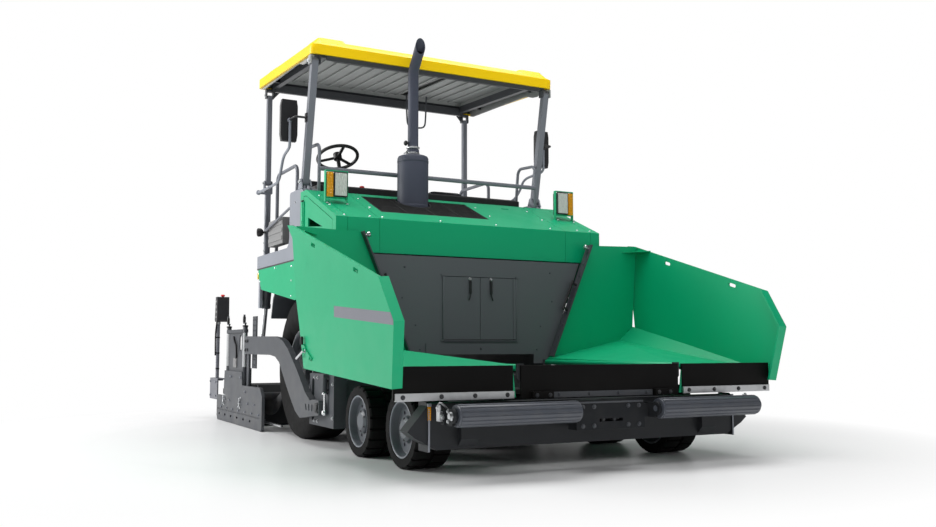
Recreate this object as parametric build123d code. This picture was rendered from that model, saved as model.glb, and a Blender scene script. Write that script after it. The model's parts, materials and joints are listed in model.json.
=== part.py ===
"""Wheeled asphalt paver: hopper in front, operator platform over the rear wheels, screed behind.

Millimetres.  X runs forwards, Y to the machine's left and Z up.  Lengths are set out from the
rear axle, on the ground, and save() moves each piece to the part's own origin.
"""

import os
from math import hypot

from build123d import *

os.makedirs("parts", exist_ok=True)

# ---- overall: the sizes that the rest follows
BODY_HALF = 1275  # half the width of the tractor and of the screed
REAR_REACH = 3000  # rear axle to the back of the screed's end brackets
WHEELBASE = 1966  # rear axle to the middle of the small wheels
REAR_TYRE_R = 640
FRONT_TYRE_R = 265
DECK_OVER_AXLE = 1090  # platform above the rear axle
HOOD_OVER_DECK = 448
ROOF_OVER_DECK = 1662  # front rim of the roof above the platform
FIT = 0.05  # radial clearance of a pin or shaft in its bore
SEAT = 0.3  # gap between pieces that only rest against each other
GAP = 5  # least clearance of a moving piece

# ---- frame
WHEEL_BAY = 625  # width that each side leaves for its wheels
FRAME_HALF = BODY_HALF - WHEEL_BAY
FRAME_PLATE = 30
FRAME_IN = FRAME_HALF - FRAME_PLATE
FRAME_LOW = 320
PLATFORM_Z = REAR_TYRE_R + DECK_OVER_AXLE
PLATFORM_T = 30
DECK_UNDER = PLATFORM_Z - PLATFORM_T
PLATFORM_HALF = BODY_HALF - 55
AUGER_X = -1100
FRAME_REAR = AUGER_X - 250
PLATFORM_REAR = AUGER_X - 30
COLUMN_FRONT = 335
BULKHEAD_X = 1300
BULKHEAD_T = 15
BULKHEAD_BACK = BULKHEAD_X - BULKHEAD_T
BEAM_BACK = WHEELBASE + 834
BEAM_FRONT = BEAM_BACK + 120
BEAM_LOW = 180
BEAM_HIGH = 470
BEAM_HALF = BODY_HALF + 125
TUNNEL_TOP = 950

# ---- wheels
TYRE_WALL = 320
REAR_RIM_R = REAR_TYRE_R - TYRE_WALL
REAR_TYRE_OUT = BODY_HALF - 105
REAR_TYRE_IN = REAR_TYRE_OUT - 370
REAR_STUB_R = 90
FRONT_TYRE_OUT = BODY_HALF - 75
FRONT_TYRE_IN = FRONT_TYRE_OUT - 275
FRONT_RUBBER = 70
FRONT_RIM_R = FRONT_TYRE_R - FRONT_RUBBER
FRONT_STUB_R = 45
LUG_COUNT = 20  # tread blocks round each half of a small tyre
LUG_DEPTH = 16
WHEEL_STEP = 796  # between the two small wheels of a side
FRONT_WHEEL_X = {"front": WHEELBASE + WHEEL_STEP / 2, "second": WHEELBASE - WHEEL_STEP / 2}
KINGPIN_Y = FRONT_TYRE_IN - 60
KINGPIN_R = 25
KNUCKLE_HEIGHT = 140
ROCKER_OUT = KINGPIN_Y - 75
ROCKER_T = 70
BOGIE_Z = 300
BOGIE_TUBE_R = 50

# ---- hopper floor, conveyors and bulkhead
DECK_TOP = 580
DECK_T = 20
CHAIN_T = 30
CHAIN_W = 25
CHAIN_LOOP_R = 55  # inside the turn at each end of a chain
CONVEYOR_FRONT = BEAM_BACK - 100
CONVEYOR_REAR = AUGER_X + 220
CHAIN_TURN_X = (CONVEYOR_REAR + CHAIN_LOOP_R + CHAIN_T, CONVEYOR_FRONT - CHAIN_LOOP_R - CHAIN_T)
SLAT_STEP = 380
BULKHEAD_TOP = 1565
BAY_DOOR_Y = 352
BAY_DOOR_Z = (880, 1410)
BAY_BARREL_R = 6
BAY_PIN_R = 3
MOUTH_HALF = FRAME_HALF - 120
MOUTH_TOP = 760

# ---- hood
HOOD_FRONT = BULKHEAD_X - 50
HOOD_TOP = PLATFORM_Z + HOOD_OVER_DECK
HOOD_FRONT_TOP = HOOD_TOP - 318
HOOD_RISE = 0.419  # rise of the sloping top for each millimetre back
HOOD_LOW = 1240
SHEET = 15
HOOD_REAR = COLUMN_FRONT + SEAT
HOOD_KNEE = HOOD_FRONT - (HOOD_TOP - HOOD_FRONT_TOP) / HOOD_RISE
HOOD_SEAMS = (901, 1178)
DOOR_X = (COLUMN_FRONT + 90, HOOD_FRONT - 85)
DOOR_LOW = HOOD_LOW + 50
SIDE_PIN_R = 5
SIDE_BARREL_R = 10
SIDE_HINGE_Y = BODY_HALF + SIDE_BARREL_R + 1
GRILLE_X = (HOOD_FRONT - 688, HOOD_FRONT - 210)
GRILLE_Y = (-800, 235)
GRILLE_STEP = 34
ENGINE_TOP = PLATFORM_Z - 40
MUFFLER_X = HOOD_FRONT - 610
MUFFLER_Y = -330
MUFFLER_R = 140
MUFFLER_LOW = HOOD_TOP - 188
MUFFLER_HIGH = HOOD_TOP + 357
PIPE_R = 48

# ---- hopper wings
WING_HINGE_Y = FRAME_HALF
WING_HINGE_Z = 690
WING_TUBE_R = 22
WING_PIN_R = 12
WING_REAR = BULKHEAD_X + 20
WING_FRONT = BEAM_BACK + 200
WING_T = 20
WING_LEAN = 4.1  # degrees that the outer plate leans out
WING_FOOT_Y = BODY_HALF + 274
WING_FOOT_Z = 573
WING_SLOTS = ((WING_REAR + 460, 985), (WING_FRONT - 410, 746))  # each along the wing and up its plate
APRON_HIGH = 705
APRON_LOW = BEAM_HIGH + 20

# ---- push rollers
YOKE_X = BEAM_FRONT + 80
YOKE_PIN_R = 30
TONGUE_Z = (335, 385)
ROLLER_X = YOKE_X + 200
ROLLER_Z = 410
ROLLER_R = 70
ROLLER_SPAN = (330, BODY_HALF - 65)
ROLLER_SHAFT_R = 20
FLUTE_COUNT = 16
FLUTE_R = 5

# ---- canopy
POST_Y = BODY_HALF - 70
POST_W = 60
ROOF_RIM_Z = PLATFORM_Z + ROOF_OVER_DECK
FRONT_POST = ((COLUMN_FRONT - 95, PLATFORM_Z + 560), (COLUMN_FRONT + 117, ROOF_RIM_Z - 52))
REAR_POST_Y = BODY_HALF - 131
REAR_POST_W = 50
REAR_POST = ((PLATFORM_REAR - 39, PLATFORM_Z + 770), (PLATFORM_REAR - 39, ROOF_RIM_Z + 28))
POST_PIN_R = 15
EAR_T = 14
HAND_Y = BODY_HALF - 150
ROOF_X = (PLATFORM_REAR - 90, COLUMN_FRONT + 185)
ROOF_HALF = BODY_HALF - 20
ROOF_SKIN = 25
ROOF_BEVEL = 90
ROOF_RIM = 88  # height of the upright rim
ROOF_RISE = 60  # height of the bevel above the rim
ROOF_LOBE = 22  # height of the corner pads above the pan
ROOF_SLOPE = 3.26  # degrees that the roof rises to the rear
ROOF_RAIL_Y = BODY_HALF - 160
ROOF_RIB_STEP = 130

# ---- screed
TOW_X = 820
TOW_Z = 325
TOW_PIN_R = 30
ARM_OUT = BODY_HALF - GAP
ARM_IN = ARM_OUT - 54
GUIDE_OUT = ARM_IN - 6
GUIDE_IN = GUIDE_OUT - 110
SCREED_HALF = BODY_HALF - 75
SCREED_FRONT = AUGER_X - 350
SCREED_REAR = 800 - REAR_REACH
SHIELD_REAR = 360 - REAR_REACH
SHIELD_T = 30
SCREED_CLEAR = 3
SPINDLE_X = (SCREED_FRONT - 120, SCREED_REAR - 60)
SPINDLE_R = 25
SPINDLE_TOP = 1030
AUGER_Z = 330
AUGER_R = 190
AUGER_SHAFT_R = 35
AUGER_PITCH = 282
AUGER_BLADE = 16  # degrees that a flight's section takes up
AUGER_SPAN = (110, SCREED_HALF - 10)
LIFT_Y = ARM_IN - 64
LIFT_TOP = (AUGER_X + 60, DECK_UNDER - 100)
LIFT_EYE = (AUGER_X - 150, 845)
LIFT_PIN_R = 18
LIFT_EYE_SLACK = 8  # room for the pin to wander in the rod's open eye
BARREL_R = 45
BARREL_LENGTH = 400
LIFT_STROKE = 298
LIFT_ROD_R = 25

FRONT_REACH = ROLLER_X + ROLLER_R
AXLE_X = (REAR_REACH - FRONT_REACH) / 2
STEER_R = 18
STEER_LEAN = 25
STEER_PLACE = Pos(-150, 519 - BODY_HALF, PLATFORM_Z + 880) * Rot(0, -STEER_LEAN, 0)
ALONG = {"x": (1, 0, 0), "y": (0, 1, 0), "z": (0, 0, 1)}


def at(axis, along, a, b):
    """The point at along on axis, and at a and b on the other two, in X, Y, Z order."""
    return {"x": (along, a, b), "y": (a, along, b), "z": (a, b, along)}[axis]


def plate(axis, low, high, *points):
    """A flat piece from low to high along axis, with its outline in the other two axes."""
    outline = Polyline([at(axis, low, a, b) for a, b in points], close=True)
    return extrude(make_face(outline), amount=high - low, dir=ALONG[axis])


def block(x, y, z):
    """A box, each side given as (low, high)."""
    size = [high - low for low, high in (x, y, z)]
    return Pos(x[0], y[0], z[0]) * Box(*size, align=(Align.MIN, Align.MIN, Align.MIN))


def rod(axis, low, high, a, b, radius):
    """A round bar from low to high along axis, its centre at a and b on the other two."""
    start = Plane(origin=at(axis, low, a, b), z_dir=ALONG[axis])
    return extrude(start * Circle(radius), amount=high - low)


def bar(start, end, radius):
    """A round bar between two points."""
    along = Vector(*end) - Vector(*start)
    return extrude(Plane(origin=start, z_dir=along) * Circle(radius), amount=along.length)


def slot(axis, low, high, a, b, length, width, tilt=0):
    """A round-ended slot through a plate, its length along the other two axes' first, tilted."""
    start = Plane(origin=at(axis, low, a, b), x_dir=ALONG["y" if axis == "x" else "x"], z_dir=ALONG[axis])
    return extrude(start * Rot(0, 0, tilt) * SlotOverall(length, width), amount=high - low)


def strut(start, end, width, depth):
    """A straight rectangular bar, its width along Y."""
    along = Vector(*end) - Vector(*start)
    section = Plane(origin=start, x_dir=(0, 1, 0), z_dir=along) * Rectangle(width, depth)
    return extrude(section, amount=along.length)


def bent_tube(radius, bend, *points):
    """A round tube through the points, with each corner bent to one radius."""
    path = FilletPolyline(*points, radius=bend)
    return sweep(Plane(origin=path @ 0, z_dir=path % 0) * Circle(radius), path=path)


def turned(x, z, *profile):
    """A piece turned about the cross line at x and z, from its (radius, y) profile."""
    face = make_face(Polyline([(r, y, 0) for r, y in profile], close=True))
    return Pos(x, 0, z) * revolve(face, axis=Axis.Y)


def spun(x, y, *profile):
    """A piece turned about the upright line at x and y, from its (radius, z) profile."""
    face = make_face(Polyline([(r, 0, z) for r, z in profile], close=True))
    return Pos(x, y, 0) * revolve(face, axis=Axis.Z)


def round_top(axis, low, high, centre, radius, foot_half, foot):
    """A lug with a round top about centre, and its straight foot at height foot."""
    a, b = centre
    web = plate(axis, low, high, (a - foot_half, foot), (a + foot_half, foot),
                (a + radius, b), (a - radius, b))
    return web + rod(axis, low, high, a, b, radius)


def triangle_plate(thickness, *corners):
    """A thin plate under three corners."""
    return extrude(make_face(Polyline(corners, close=True)), amount=thickness, dir=(0, 0, -1))


def fuse(*pieces):
    """One shape from several."""
    whole = pieces[0]
    for piece in pieces[1:]:
        whole = whole + piece
    return whole


def other_side(piece):
    return mirror(piece, about=Plane.XZ)


def both(piece):
    return piece + other_side(piece)


def save(name, piece):
    export_step(Pos(AXLE_X, 0, 0) * piece, f"parts/{name}.step")


def save_pair(name, left):
    """Writes a piece for each side, from the left one."""
    save(f"{name}_left", left)
    save(f"{name}_right", other_side(left))


def hood_top(x):
    """Height of the hood's outer face at x."""
    return min(HOOD_TOP, HOOD_FRONT_TOP + HOOD_RISE * (HOOD_FRONT - x))


# ---- main frame
def side_rails():
    """Welded side plates of the frame, with the cross members between them."""
    side = plate(
        "y", FRAME_IN, FRAME_HALF,
        (FRAME_REAR, 750), (FRAME_REAR, DECK_UNDER), (COLUMN_FRONT, DECK_UNDER),
        (BULKHEAD_BACK, BULKHEAD_TOP - GAP), (BULKHEAD_BACK, WING_HINGE_Z - 35),
        (BEAM_BACK, WING_HINGE_Z - 50), (BEAM_BACK, FRAME_LOW + 60), (BULKHEAD_X - 100, FRAME_LOW),
        (FRAME_REAR + 500, FRAME_LOW), (FRAME_REAR + 390, 600),
    )
    side -= rod("y", FRAME_IN - 1, FRAME_HALF + 1, WHEELBASE, BOGIE_Z, BOGIE_TUBE_R + SEAT)
    # pin and lugs of the wing's hinge
    hinge_pin = rod("x", BULKHEAD_X, WING_FRONT + 20, WING_HINGE_Y, WING_HINGE_Z, WING_PIN_R)
    lug_y = WING_HINGE_Y + WING_TUBE_R
    lugs = fuse(*[
        plate("x", low, low + 15, (FRAME_IN, 560), (lug_y, 620), (lug_y, 715), (FRAME_IN, 715))
        for low in (WING_REAR - 20, WING_FRONT + GAP)
    ])
    lug_arm = block((BEAM_BACK - 20, WING_FRONT + 20), (FRAME_IN, FRAME_HALF), (560, WING_HINGE_Z - 50))
    left = fuse(side, hinge_pin, lugs, lug_arm)
    cross = fuse(
        block((FRAME_REAR, FRAME_REAR + 20), (-FRAME_IN, FRAME_IN), (TUNNEL_TOP, DECK_UNDER)),
        block((FRAME_REAR, BULKHEAD_X - 100), (-FRAME_IN, FRAME_IN), (TUNNEL_TOP, TUNNEL_TOP + 20)),
        # chain case that hangs between the augers
        block((AUGER_X - 90, AUGER_X + 90), (-100, 100), (200, TUNNEL_TOP)),
    )
    # steps up the rear wall
    for z in (PLATFORM_Z - 650, PLATFORM_Z - 330):
        cross += block((FRAME_REAR - 150, FRAME_REAR), (-260, 260), (z, z + 20))
        for y in (-260, 245):
            cross += plate("y", y, y + 15, (FRAME_REAR - 120, z), (FRAME_REAR, z), (FRAME_REAR, z - 110))
    for side_y in (-101, 60):
        cross -= rod("y", side_y, side_y + 41, AUGER_X, AUGER_Z, AUGER_SHAFT_R + FIT)
    return fuse(both(left), cross, front_beam())


def front_beam():
    """Cross beam with cut-off ends, towing eyes and the tongue of the push-roller yoke."""
    beam = plate(
        "x", BEAM_BACK, BEAM_FRONT,
        (-BEAM_HALF + 150, BEAM_HIGH), (BEAM_HALF - 150, BEAM_HIGH), (BEAM_HALF, 300), (BEAM_HALF - 50, 260),
        (BEAM_HALF - 200, BEAM_LOW), (-BEAM_HALF + 200, BEAM_LOW), (-BEAM_HALF + 50, 260), (-BEAM_HALF, 300),
    )
    tongue = plate("z", *TONGUE_Z, (BEAM_FRONT, -110), (YOKE_X, -60), (YOKE_X, 60), (BEAM_FRONT, 110))
    tongue += rod("z", *TONGUE_Z, YOKE_X, 0, 60)
    tongue -= rod("z", TONGUE_Z[0] - 1, TONGUE_Z[1] + 1, YOKE_X, 0, YOKE_PIN_R + FIT)
    end_y = BODY_HALF - 25
    end_plate = plate("y", end_y, end_y + 12, (BEAM_BACK - 15, 170), (BEAM_FRONT + 10, 170),
                      (BEAM_FRONT + 10, 440), (BEAM_FRONT - 25, BEAM_HIGH + 10),
                      (BEAM_BACK - 15, BEAM_HIGH + 10))
    foot = plate("y", end_y - 330, end_y - 200, (BEAM_FRONT, 195), (BEAM_FRONT + 50, 245),
                 (BEAM_FRONT + 50, 330), (BEAM_FRONT, 330))
    # towing eye behind the end of the beam
    eye_x, eye_y = BEAM_BACK - 45, BODY_HALF - 95
    eye = plate("y", eye_y, eye_y + 40, (eye_x, 265), (BEAM_BACK, 240), (BEAM_BACK, 400), (eye_x, 375))
    eye += rod("y", eye_y, eye_y + 40, eye_x, 320, 55)
    eye -= rod("y", eye_y - 1, eye_y + 41, eye_x, 320, 20)
    return fuse(beam, tongue, both(fuse(end_plate, foot, eye)))


def wheel_arch():
    """Bolted arch over the rear tyre."""
    crown = 2 * REAR_TYRE_R + 90
    skin = 20
    return plate(
        "y", FRAME_HALF + SEAT, ARM_IN - 2 * GAP,
        (-760, crown - 270), (-700, crown - 80), (-620, crown), (600, crown), (720, crown - 130),
        (760, crown - 370), (740, crown - 370), (702, crown - 140), (590, crown - skin),
        (-610, crown - skin), (-682, crown - 90), (-742, crown - 275),
    )


def lift_beam():
    """Cross beam under the platform's back edge, with the ears that carry the lift cylinders."""
    x, z = LIFT_TOP
    beam = block((x - 60, x + 60), (FRAME_HALF + SEAT, PLATFORM_HALF), (DECK_UNDER - 40, DECK_UNDER))
    ears = [
        plate("y", low, low + EAR_T, (x - 35, z - 30), (x + 35, z - 30), (x + 60, DECK_UNDER - 40),
              (x - 60, DECK_UNDER - 40))
        for low in (LIFT_Y - 47, LIFT_Y + 33)
    ]
    return fuse(beam, *ears, rod("y", LIFT_Y - 47, LIFT_Y + 47, x, z, LIFT_PIN_R))


def tow_guide():
    """Bolted carrier of the tow point: slotted guide, its pin and the levelling cylinder."""
    back, front = TOW_X - 160, TOW_X + 250
    carrier = block((TOW_X - 120, TOW_X + 230), (FRAME_HALF + SEAT, GUIDE_IN), (250, 550))
    post = block((back, front), (GUIDE_IN, GUIDE_OUT), (170, 600))
    rail_y = (GUIDE_OUT - 32, GUIDE_OUT)
    rail = block((back - 190, back), rail_y, (170, 600))
    for low, high in ((200, 350), (400, 560)):
        rail -= slot("y", rail_y[0] - 1, rail_y[1] + 1, back - 100, (low + high) / 2, high - low, 60, 90)
    pin = rod("y", GUIDE_OUT, ARM_OUT + 10, TOW_X, TOW_Z, TOW_PIN_R)
    # levelling cylinder ahead of the arm, from its lug down to its ball
    cylinder_x, cylinder_y = TOW_X + 105, ARM_IN + 20
    lug = block((cylinder_x - 20, cylinder_x + 20), (GUIDE_OUT, cylinder_y + 20), (570, 600))
    cylinder = fuse(
        rod("z", 440, 570, cylinder_x, cylinder_y, 22),
        rod("z", 300, 440, cylinder_x, cylinder_y, 10),
        Pos(cylinder_x, cylinder_y, 290) * Sphere(24),
    )
    return fuse(carrier, post, rail, pin, lug, cylinder)


def main_frame():
    bolted = [wheel_arch(), lift_beam(), tow_guide()]
    return fuse(side_rails(), *[both(piece) for piece in bolted])


# ---- wheels
def front_bogies():
    """Rocker beams that carry the small wheels, on one cross tube."""
    rocker_in = ROCKER_OUT - ROCKER_T
    tube = rod("y", -rocker_in - 20, rocker_in + 20, WHEELBASE, BOGIE_Z, BOGIE_TUBE_R)
    front, back = FRONT_WHEEL_X["front"], FRONT_WHEEL_X["second"]
    beam = plate(
        "y", rocker_in, ROCKER_OUT,
        (back - 80, 190), (back - 60, 170), (front + 60, 170), (front + 80, 190), (front + 80, 360),
        (WHEELBASE + 150, 400), (WHEELBASE - 150, 400), (back - 80, 360),
    )
    beam += rod("y", ROCKER_OUT, ROCKER_OUT + 20, WHEELBASE, BOGIE_Z, BOGIE_TUBE_R + 25)
    low = FRONT_TYRE_R - KNUCKLE_HEIGHT / 2 - GAP
    high = FRONT_TYRE_R + KNUCKLE_HEIGHT / 2 + GAP
    for x in FRONT_WHEEL_X.values():
        for z in (low - 25, high):
            lug = block((x - 45, x + 45), (ROCKER_OUT, KINGPIN_Y), (z, z + 25))
            beam += lug + rod("z", z, z + 25, x, KINGPIN_Y, 45)
        beam -= rod("z", low - 30, high + 30, x, KINGPIN_Y, KINGPIN_R + FIT)
    return fuse(tube, both(beam))


def knuckle(x):
    """Steering knuckle with its kingpin and stub axle."""
    half = KNUCKLE_HEIGHT / 2
    pin = rod("z", FRONT_TYRE_R - half - 35, FRONT_TYRE_R + half + 35, x, KINGPIN_Y, KINGPIN_R)
    body = block((x - 40, x + 40), (KINGPIN_Y - 38, KINGPIN_Y + 40),
                 (FRONT_TYRE_R - half, FRONT_TYRE_R + half))
    stub = rod("y", KINGPIN_Y + 30, FRONT_TYRE_OUT - 85, x, FRONT_TYRE_R, FRONT_STUB_R)
    return fuse(pin, body, stub)


def front_tyre(x):
    """Solid tyre: a groove round its middle and cross grooves that make the tread blocks."""
    blank = turned(
        x, FRONT_TYRE_R,
        (FRONT_RIM_R + SEAT, FRONT_TYRE_IN), (FRONT_TYRE_R - 12, FRONT_TYRE_IN),
        (FRONT_TYRE_R, FRONT_TYRE_IN + 12), (FRONT_TYRE_R, FRONT_TYRE_OUT - 12),
        (FRONT_TYRE_R - 12, FRONT_TYRE_OUT), (FRONT_RIM_R + SEAT, FRONT_TYRE_OUT),
    )
    middle = (FRONT_TYRE_IN + FRONT_TYRE_OUT) / 2
    floor = FRONT_TYRE_R - LUG_DEPTH
    ring = turned(x, FRONT_TYRE_R, (floor, middle - 11), (FRONT_TYRE_R + 1, middle - 11),
                  (FRONT_TYRE_R + 1, middle + 11), (floor, middle + 11))
    grooves = []
    step = 360 / LUG_COUNT
    for number in range(LUG_COUNT):
        for edge, turn in ((FRONT_TYRE_IN, 0), (FRONT_TYRE_OUT, step / 2)):
            low, high = min(edge, middle), max(edge, middle)
            groove = block((-8, 8), (low - 1, high + 1), (floor, FRONT_TYRE_R + 5))
            grooves.append(Pos(x, 0, FRONT_TYRE_R) * Rot(0, number * step + turn, 0) * groove)
    return blank - [ring, *grooves]


def front_rim(x):
    bore = FRONT_STUB_R + FIT
    back, face = FRONT_TYRE_IN, FRONT_TYRE_OUT
    rim = turned(
        x, FRONT_TYRE_R,
        (bore, back + 35), (80, back + 35), (80, face - 80), (FRONT_RIM_R - 15, face - 80),
        (FRONT_RIM_R - 15, back + 5), (FRONT_RIM_R, back + 5), (FRONT_RIM_R, face - 5),
        (FRONT_RIM_R - 15, face - 5), (FRONT_RIM_R - 25, face - 60), (90, face - 60), (85, face - 35),
        (60, face - 20), (0, face - 20), (0, face - 84), (bore, face - 84),
    )
    holes = [
        Pos(x, 0, FRONT_TYRE_R) * Rot(0, turn, 0) * rod("y", face - 81, face - 59, 125, 0, 14)
        for turn in range(0, 360, 60)
    ]
    return rim - holes


def final_drives():
    """Wheel drive housings and stub axles on the frame's sides."""
    inner = REAR_TYRE_IN + 45
    housing = turned(
        0, REAR_TYRE_R,
        (0, FRAME_HALF), (190, FRAME_HALF), (190, FRAME_HALF + 35), (170, FRAME_HALF + 50),
        (170, inner - 40), (140, inner), (REAR_STUB_R, inner), (REAR_STUB_R, REAR_TYRE_OUT - 75),
        (0, REAR_TYRE_OUT - 75),
    )
    return both(housing)


def rear_tyre():
    rim, back, face = REAR_RIM_R, REAR_TYRE_IN, REAR_TYRE_OUT
    shoulder = REAR_TYRE_R - 55
    belly = REAR_RIM_R + 110
    return turned(
        0, REAR_TYRE_R,
        (rim + SEAT, back + 61), (rim + 16, back + 46), (belly, back), (shoulder, back + 8),
        (REAR_TYRE_R - 14, back + 26), (REAR_TYRE_R, back + 50), (REAR_TYRE_R, face - 50),
        (REAR_TYRE_R - 14, face - 26), (shoulder, face - 8), (belly, face), (rim + 16, face - 46),
        (rim + SEAT, face - 61),
    )


def rear_rim():
    """Dished disc wheel with a flanged rim."""
    bore = REAR_STUB_R + FIT
    rim, back, face = REAR_RIM_R, REAR_TYRE_IN, REAR_TYRE_OUT
    return turned(
        0, REAR_TYRE_R,
        (bore, back + 50), (160, back + 50), (160, face - 120), (rim - 24, face - 120), (rim - 24, back + 65),
        (rim - 5, back + 35), (rim + 15, back + 35), (rim + 15, back + 45), (rim, back + 60),
        (rim, face - 60), (rim + 15, face - 45), (rim + 15, face - 35), (rim - 5, face - 35),
        (rim - 20, face - 50), (rim - 20, face - 95), (170, face - 95), (170, face - 60),
        (120, face - 40), (0, face - 40), (0, face - 74), (bore, face - 74),
    )


# ---- conveyors and bulkhead
def conveyor_deck():
    """Floor plates of the conveyor, one under each run of the chains."""
    low = DECK_TOP - 2 * CHAIN_LOOP_R - CHAIN_T
    span = (CHAIN_TURN_X[0] + CHAIN_LOOP_R + GAP, CHAIN_TURN_X[1] - CHAIN_LOOP_R - GAP)
    floor = (DECK_TOP - DECK_T, DECK_TOP)
    return fuse(
        block(span, (-FRAME_IN, FRAME_IN), floor),
        block(span, (-20, 20), (low, floor[0])),
        block(span, (-FRAME_IN, FRAME_IN), (low - DECK_T, low)),
        # floor plate between the conveyors' front turn and the cross beam
        block((CONVEYOR_FRONT + GAP, BEAM_BACK), (-FRAME_IN, FRAME_IN), floor),
    )


def chain_loop(low, high):
    """One endless chain, as a band round its two end wheels, from low to high along Y."""
    middle = DECK_TOP - CHAIN_LOOP_R
    outer, inner = [
        block(CHAIN_TURN_X, (low, high), (middle - radius, middle + radius))
        + [rod("y", low, high, x, middle, radius) for x in CHAIN_TURN_X]
        for radius in (CHAIN_LOOP_R + CHAIN_T, CHAIN_LOOP_R)
    ]
    return outer - inner


def conveyor_chains():
    """Two slat conveyors: pairs of endless chains with cross slats, and their end shafts."""
    tracks = (50, FRAME_IN - 60)
    pieces = [chain_loop(y, y + CHAIN_W) for y in tracks]
    between = (tracks[0] + CHAIN_W + SEAT, tracks[1] - SEAT)
    count = int((CONVEYOR_FRONT - CONVEYOR_REAR - 250) / SLAT_STEP)
    lower = DECK_TOP - 2 * CHAIN_LOOP_R - CHAIN_T
    for number in range(count + 1):
        x = CONVEYOR_REAR + 110 + number * SLAT_STEP
        for z in (DECK_TOP, lower):
            pieces.append(block((x, x + 40), between, (z, z + 20)))
    middle = DECK_TOP - CHAIN_LOOP_R
    shafts = []
    for x in CHAIN_TURN_X:
        shafts.append(rod("y", 0, FRAME_IN - SEAT, x, middle, 28))
        shafts += [rod("y", y, y + CHAIN_W, x, middle, CHAIN_LOOP_R - SEAT) for y in tracks]
    return both(Compound(pieces)) + both(fuse(*shafts))


def bulkhead():
    """Hopper's rear wall over the tunnel's mouth, with the pins of its two doors."""
    back, front = BULKHEAD_BACK, BULKHEAD_X
    top_half = BODY_HALF - 265
    foot = FRAME_HALF + 22
    wall = plate(
        "x", back, front,
        (-top_half, BULKHEAD_TOP), (top_half, BULKHEAD_TOP), (foot, 680), (MOUTH_HALF, 680),
        (MOUTH_HALF, MOUTH_TOP), (-MOUTH_HALF, MOUTH_TOP), (-MOUTH_HALF, 680), (-foot, 680),
    )
    wall -= block((back - 1, front + 1), (-BAY_DOOR_Y, BAY_DOOR_Y), BAY_DOOR_Z)
    # flap over the mouth
    wall += block((front, front + 12), (-MOUTH_HALF + 20, MOUTH_HALF - 20), (MOUTH_TOP, BAY_DOOR_Z[0] - 30))
    hinge_x = front + BAY_BARREL_R
    pin = rod("z", BAY_DOOR_Z[0] - 12, BAY_DOOR_Z[1] + 12, hinge_x, BAY_DOOR_Y, BAY_PIN_R)
    ends = fuse(*[
        block((front, hinge_x + 6), (BAY_DOOR_Y - 6, BAY_DOOR_Y + 20), (z, z + 12))
        for z in (BAY_DOOR_Z[0] - 12, BAY_DOOR_Z[1])
    ])
    return fuse(wall, both(pin + ends))


def bay_door():
    """Left-hand door in the bulkhead, hinged at its outer edge."""
    z = (BAY_DOOR_Z[0] + GAP, BAY_DOOR_Z[1] - GAP)
    hinge_x = BULKHEAD_X + BAY_BARREL_R
    leaf = block((BULKHEAD_BACK, BULKHEAD_X), (GAP / 2, BAY_DOOR_Y - GAP), z)
    barrel = rod("z", *z, hinge_x, BAY_DOOR_Y, BAY_BARREL_R - SEAT)
    web = block((BULKHEAD_X - 1, hinge_x), (BAY_DOOR_Y - 30, BAY_DOOR_Y - 2), z)
    handle_y, handle_z = 100, (z[1] - 140, z[1] - 30)
    grip = rod("z", *handle_z, BULKHEAD_X + 16, handle_y, 5)
    feet = [
        rod("x", BULKHEAD_X, BULKHEAD_X + 16, handle_y, level, 5)
        for level in (handle_z[0] + 6, handle_z[1] - 6)
    ]
    door = fuse(leaf, barrel, web, grip, *feet)
    return door - rod("z", z[0] - 1, z[1] + 1, hinge_x, BAY_DOOR_Y, BAY_PIN_R + FIT)


# ---- hood
def slope_prism(y_low, y_high, x_low, x_high, top, bottom):
    """A strip along the hood's slope, from top to bottom below its outer face."""
    return plate(
        "y", y_low, y_high,
        (x_low, hood_top(x_low) - bottom), (x_high, hood_top(x_high) - bottom),
        (x_high, hood_top(x_high) - top), (x_low, hood_top(x_low) - top),
    )


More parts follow.
